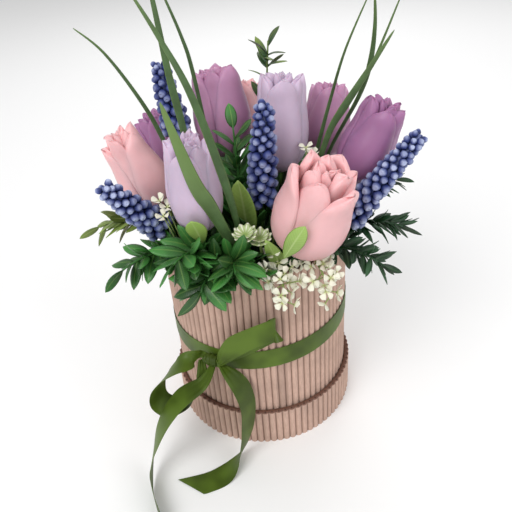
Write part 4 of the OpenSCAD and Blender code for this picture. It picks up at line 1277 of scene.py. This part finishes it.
class FLOWERBOX_OT_grass(bpy.types.Operator):
    """Makes the grass blades and the pair of broad tulip leaves"""

    bl_idname = "flower_box.grass"
    bl_label = "Grass and broad leaves"

    def execute(self, context):
        look = context.scene.flower_box_greens
        green = blade_green("grass_blades", look.grass, tint(112, 138, 76))
        for name, blades in (("grass_left", GRASS_LEFT), ("grass_right", GRASS_RIGHT)):
            rings = [
                blade_rings(foot(bearing, inset) + np.array(points), width, peak)
                for (bearing, inset, width, peak), points in blades
            ]
            tones = [1.0 if width > BROAD_BLADE else 0.1 for (_, _, width, _), _ in blades]
            piece = skin("blades_" + name, rings, green, tones=tones)
            stand_in(name)
        dark, pale = shade(look.young, 0.75), shade(look.young, 1.15)
        young = leaf_green("young_leaf", dark, pale, tint(186, 204, 140), 0.4)
        base, turn = map(np.stack, zip(*map(planted, TULIP_LEAVES)))
        long, wide = zip(*((leaf.length, leaf.width) for leaf in TULIP_LEAVES))
        base = base + turn @ np.array([0, 0, LEAF_BASE])
        leaves = leaf_rings(base, turn, long, wide, 0.12, 0.3, rows=14, ring=12, swell=0.6, point=0.7)
        foots, ways, faces, long, wide, arch, fold = (np.array(column, float) for column in zip(*BRACTS))
        bracts = leaf_rings(foots, aimed(ways, faces), long, wide, arch, fold, rows=12, ring=10, swell=0.9)
        broad = merged("tulip_leaf_pair", [
            skin("bracts", bracts, young, tones=[0.0, 0.1, 0.0, 0.2, 0.3]),
            skin("broad", leaves, young, tones=[0.1, 0.4]),
            skin("pins", [pin_rings(leaf, LEAF_PIN_H) for leaf in TULIP_LEAVES], young, tones=[0.5, 0.5]),
        ])
        stand_in("tulip_leaves")
        return {"FINISHED"}


class FLOWERBOX_OT_sprays(bpy.types.Operator):
    """Makes the leaf sprays and the small sprigs"""

    bl_idname = "flower_box.sprays"
    bl_label = "Leaf sprays"

    def execute(self, context):
        look = context.scene.flower_box_greens
        greens = {
            kind: leaf_green(name, shade(getattr(look, low), dark), shade(getattr(look, high), pale), rib, gloss)
            for kind, (name, (low, dark), (high, pale), rib, gloss, *_) in KINDS.items()
        }
        for i, (name, p) in enumerate(SPRAYS.items()):
            kind = name.split("_")[0]
            slot, extra, slim, reach, turned = KINDS[kind][5:]
            rings, tones = spray_leaves(p, extra, SEEDS["sprays"] + i, slim, reach, turned)
            if kind not in SPRIGS:
                low, low_tones = understory(p, LOW_LEAVES, SEEDS["low"] + i)
                rings, tones = np.concatenate([rings, low]), np.concatenate([tones, low_tones])
            spray = merged("spray_" + name, [
                skin("leaves", rings, greens[kind], tones=tones),
                skin("stalk", arched_stem(p), greens[kind], tones=[0.6]),
            ])
            stand_in(name)
        return {"FINISHED"}


class FLOWERBOX_OT_white_filler(bpy.types.Operator):
    """Makes the sprays of white florets and the two ruffled rosettes"""

    bl_idname = "flower_box.white_filler"
    bl_label = "White filler flowers"

    def execute(self, context):
        look = context.scene.flower_box_greens
        cream = cream_petal("cream_floret", shade(look.cream, 1), tint(190, 200, 130))
        stalk = plain("floret_stalks", "plastic", tint(150, 170, 100))
        for i, (name, p) in enumerate(WHITE_SPRAYS.items()):
            parts = floret_parts(p, MORE_FLORETS, SEEDS["florets"] + i)
            if name == "white_spray_left":
                low, way = LOOSE_FLORETS[:, 0], LOOSE_FLORETS[:, 1] - LOOSE_FLORETS[:, 0]
                draw = np.random.default_rng(SEEDS["loose"])
                loose = florets_at(low, aimed(way, [[0, -1.0, 0]]), np.linalg.norm(way, axis=1), draw)
                parts = [np.concatenate(pair) for pair in zip(parts, loose)]
            stalks, petals, tones = parts
            spray = merged("florets_" + name, [
                skin("petals", petals, cream, tones=tones),
                skin("stalks", stalks, stalk),
                skin("stem", arched_stem(p), stalk),
            ])
            stand_in(name)
        ruffled = veined_rosette("rosette", shade(look.cream, 0.96), tint(150, 176, 96))
        pair = merged("rosettes", [
            skin("cups", [rosette_rings(q, layer) for q in ROSETTES for layer in (0, 1)], ruffled),
            skin("pins", [pin_rings(q, q.rise) for q in ROSETTES], stalk),
        ])
        stand_in("rosette_pick")
        return {"FINISHED"}


class FLOWERBOX_OT_stage(bpy.types.Operator):
    """Sets the floor, the soft lights and the camera"""

    bl_idname = "flower_box.stage"
    bl_label = "Stage"

    def execute(self, context):
        look = context.scene.flower_box_stage
        bpy.ops.mesh.primitive_plane_add(size=8, location=(0, 0, 0))
        floor = context.object
        floor.name = "floor"
        f = Finish("floor_paint", roughness=0.9, specular_ior_level=0.1)
        f.colour(tuple(look.floor))
        floor.data.materials.append(f.material)
        world = context.scene.world or bpy.data.worlds.new("soft_room")
        context.scene.world = world
        world.use_nodes = True
        background = world.node_tree.nodes["Background"].inputs
        background[0].default_value = (1.0, 1.0, 1.0, 1.0)
        background[1].default_value = WORLD_LIGHT
        for name, place, size, share in LAMPS:
            light = bpy.data.lights.new(name, "AREA")
            light.size, light.energy = size, look.key * share
            lamp = bpy.data.objects.new(name, light)
            context.scene.collection.objects.link(lamp)
            lamp.location = place
            lamp.rotation_euler = (Vector(place) - Vector(LAMPS_AIM)).to_track_quat("Z", "Y").to_euler()
        camera = bpy.data.objects.new("camera", bpy.data.cameras.new("camera"))
        camera.data.lens = look.lens
        camera.data.sensor_width = 36.0
        back = [-x for x in CAMERA_WAY]
        camera.matrix_world = Matrix([*zip(CAMERA_RIGHT, CAMERA_UP, back, CAMERA_AT), (0, 0, 0, 1)])
        context.scene.collection.objects.link(camera)
        context.scene.camera = camera
        context.scene.view_settings.view_transform = "Standard"
        return {"FINISHED"}


class FLOWERBOX_PT_panel(bpy.types.Panel):
    """Lists the sizes, colours and makers of the flower box"""

    bl_label = "Flower box"
    bl_idname = "FLOWERBOX_PT_panel"
    bl_space_type = "VIEW_3D"
    bl_region_type = "UI"
    bl_category = "Flower box"

    def draw(self, context):
        for group in GROUPS:
            settings = getattr(context.scene, group[0])
            box = self.layout.box()
            for name in settings.__annotations__:
                box.prop(settings, name)
        for operator in OPERATORS:
            self.layout.operator(operator.bl_idname)


GROUPS = (
    ("flower_box_paper", FlowerBoxPaper),
    ("flower_box_ribbon", FlowerBoxRibbon),
    ("flower_box_flowers", FlowerBoxFlowers),
    ("flower_box_greens", FlowerBoxGreens),
    ("flower_box_stage", FlowerBoxStage),
)
OPERATORS = (
    FLOWERBOX_OT_paper,
    FLOWERBOX_OT_ribbon,
    FLOWERBOX_OT_tulips,
    FLOWERBOX_OT_hyacinths,
    FLOWERBOX_OT_grass,
    FLOWERBOX_OT_sprays,
    FLOWERBOX_OT_white_filler,
    FLOWERBOX_OT_stage,
)


def register():
    """Adds the settings, the operators and the panel."""
    for name, group in GROUPS:
        bpy.utils.register_class(group)
        setattr(bpy.types.Scene, name, PointerProperty(type=group))
    for operator in OPERATORS:
        bpy.utils.register_class(operator)
    bpy.utils.register_class(FLOWERBOX_PT_panel)


def unregister():
    """Takes away what register added."""
    bpy.utils.unregister_class(FLOWERBOX_PT_panel)
    for operator in reversed(OPERATORS):
        bpy.utils.unregister_class(operator)
    for name, group in reversed(GROUPS):
        delattr(bpy.types.Scene, name)
        bpy.utils.unregister_class(group)


def main():
    """Builds everything in order."""
    register()
    for operator in OPERATORS:
        module, name = operator.bl_idname.split(".")
        getattr(getattr(bpy.ops, module), name)()


if __name__ == "__main__":
    main()
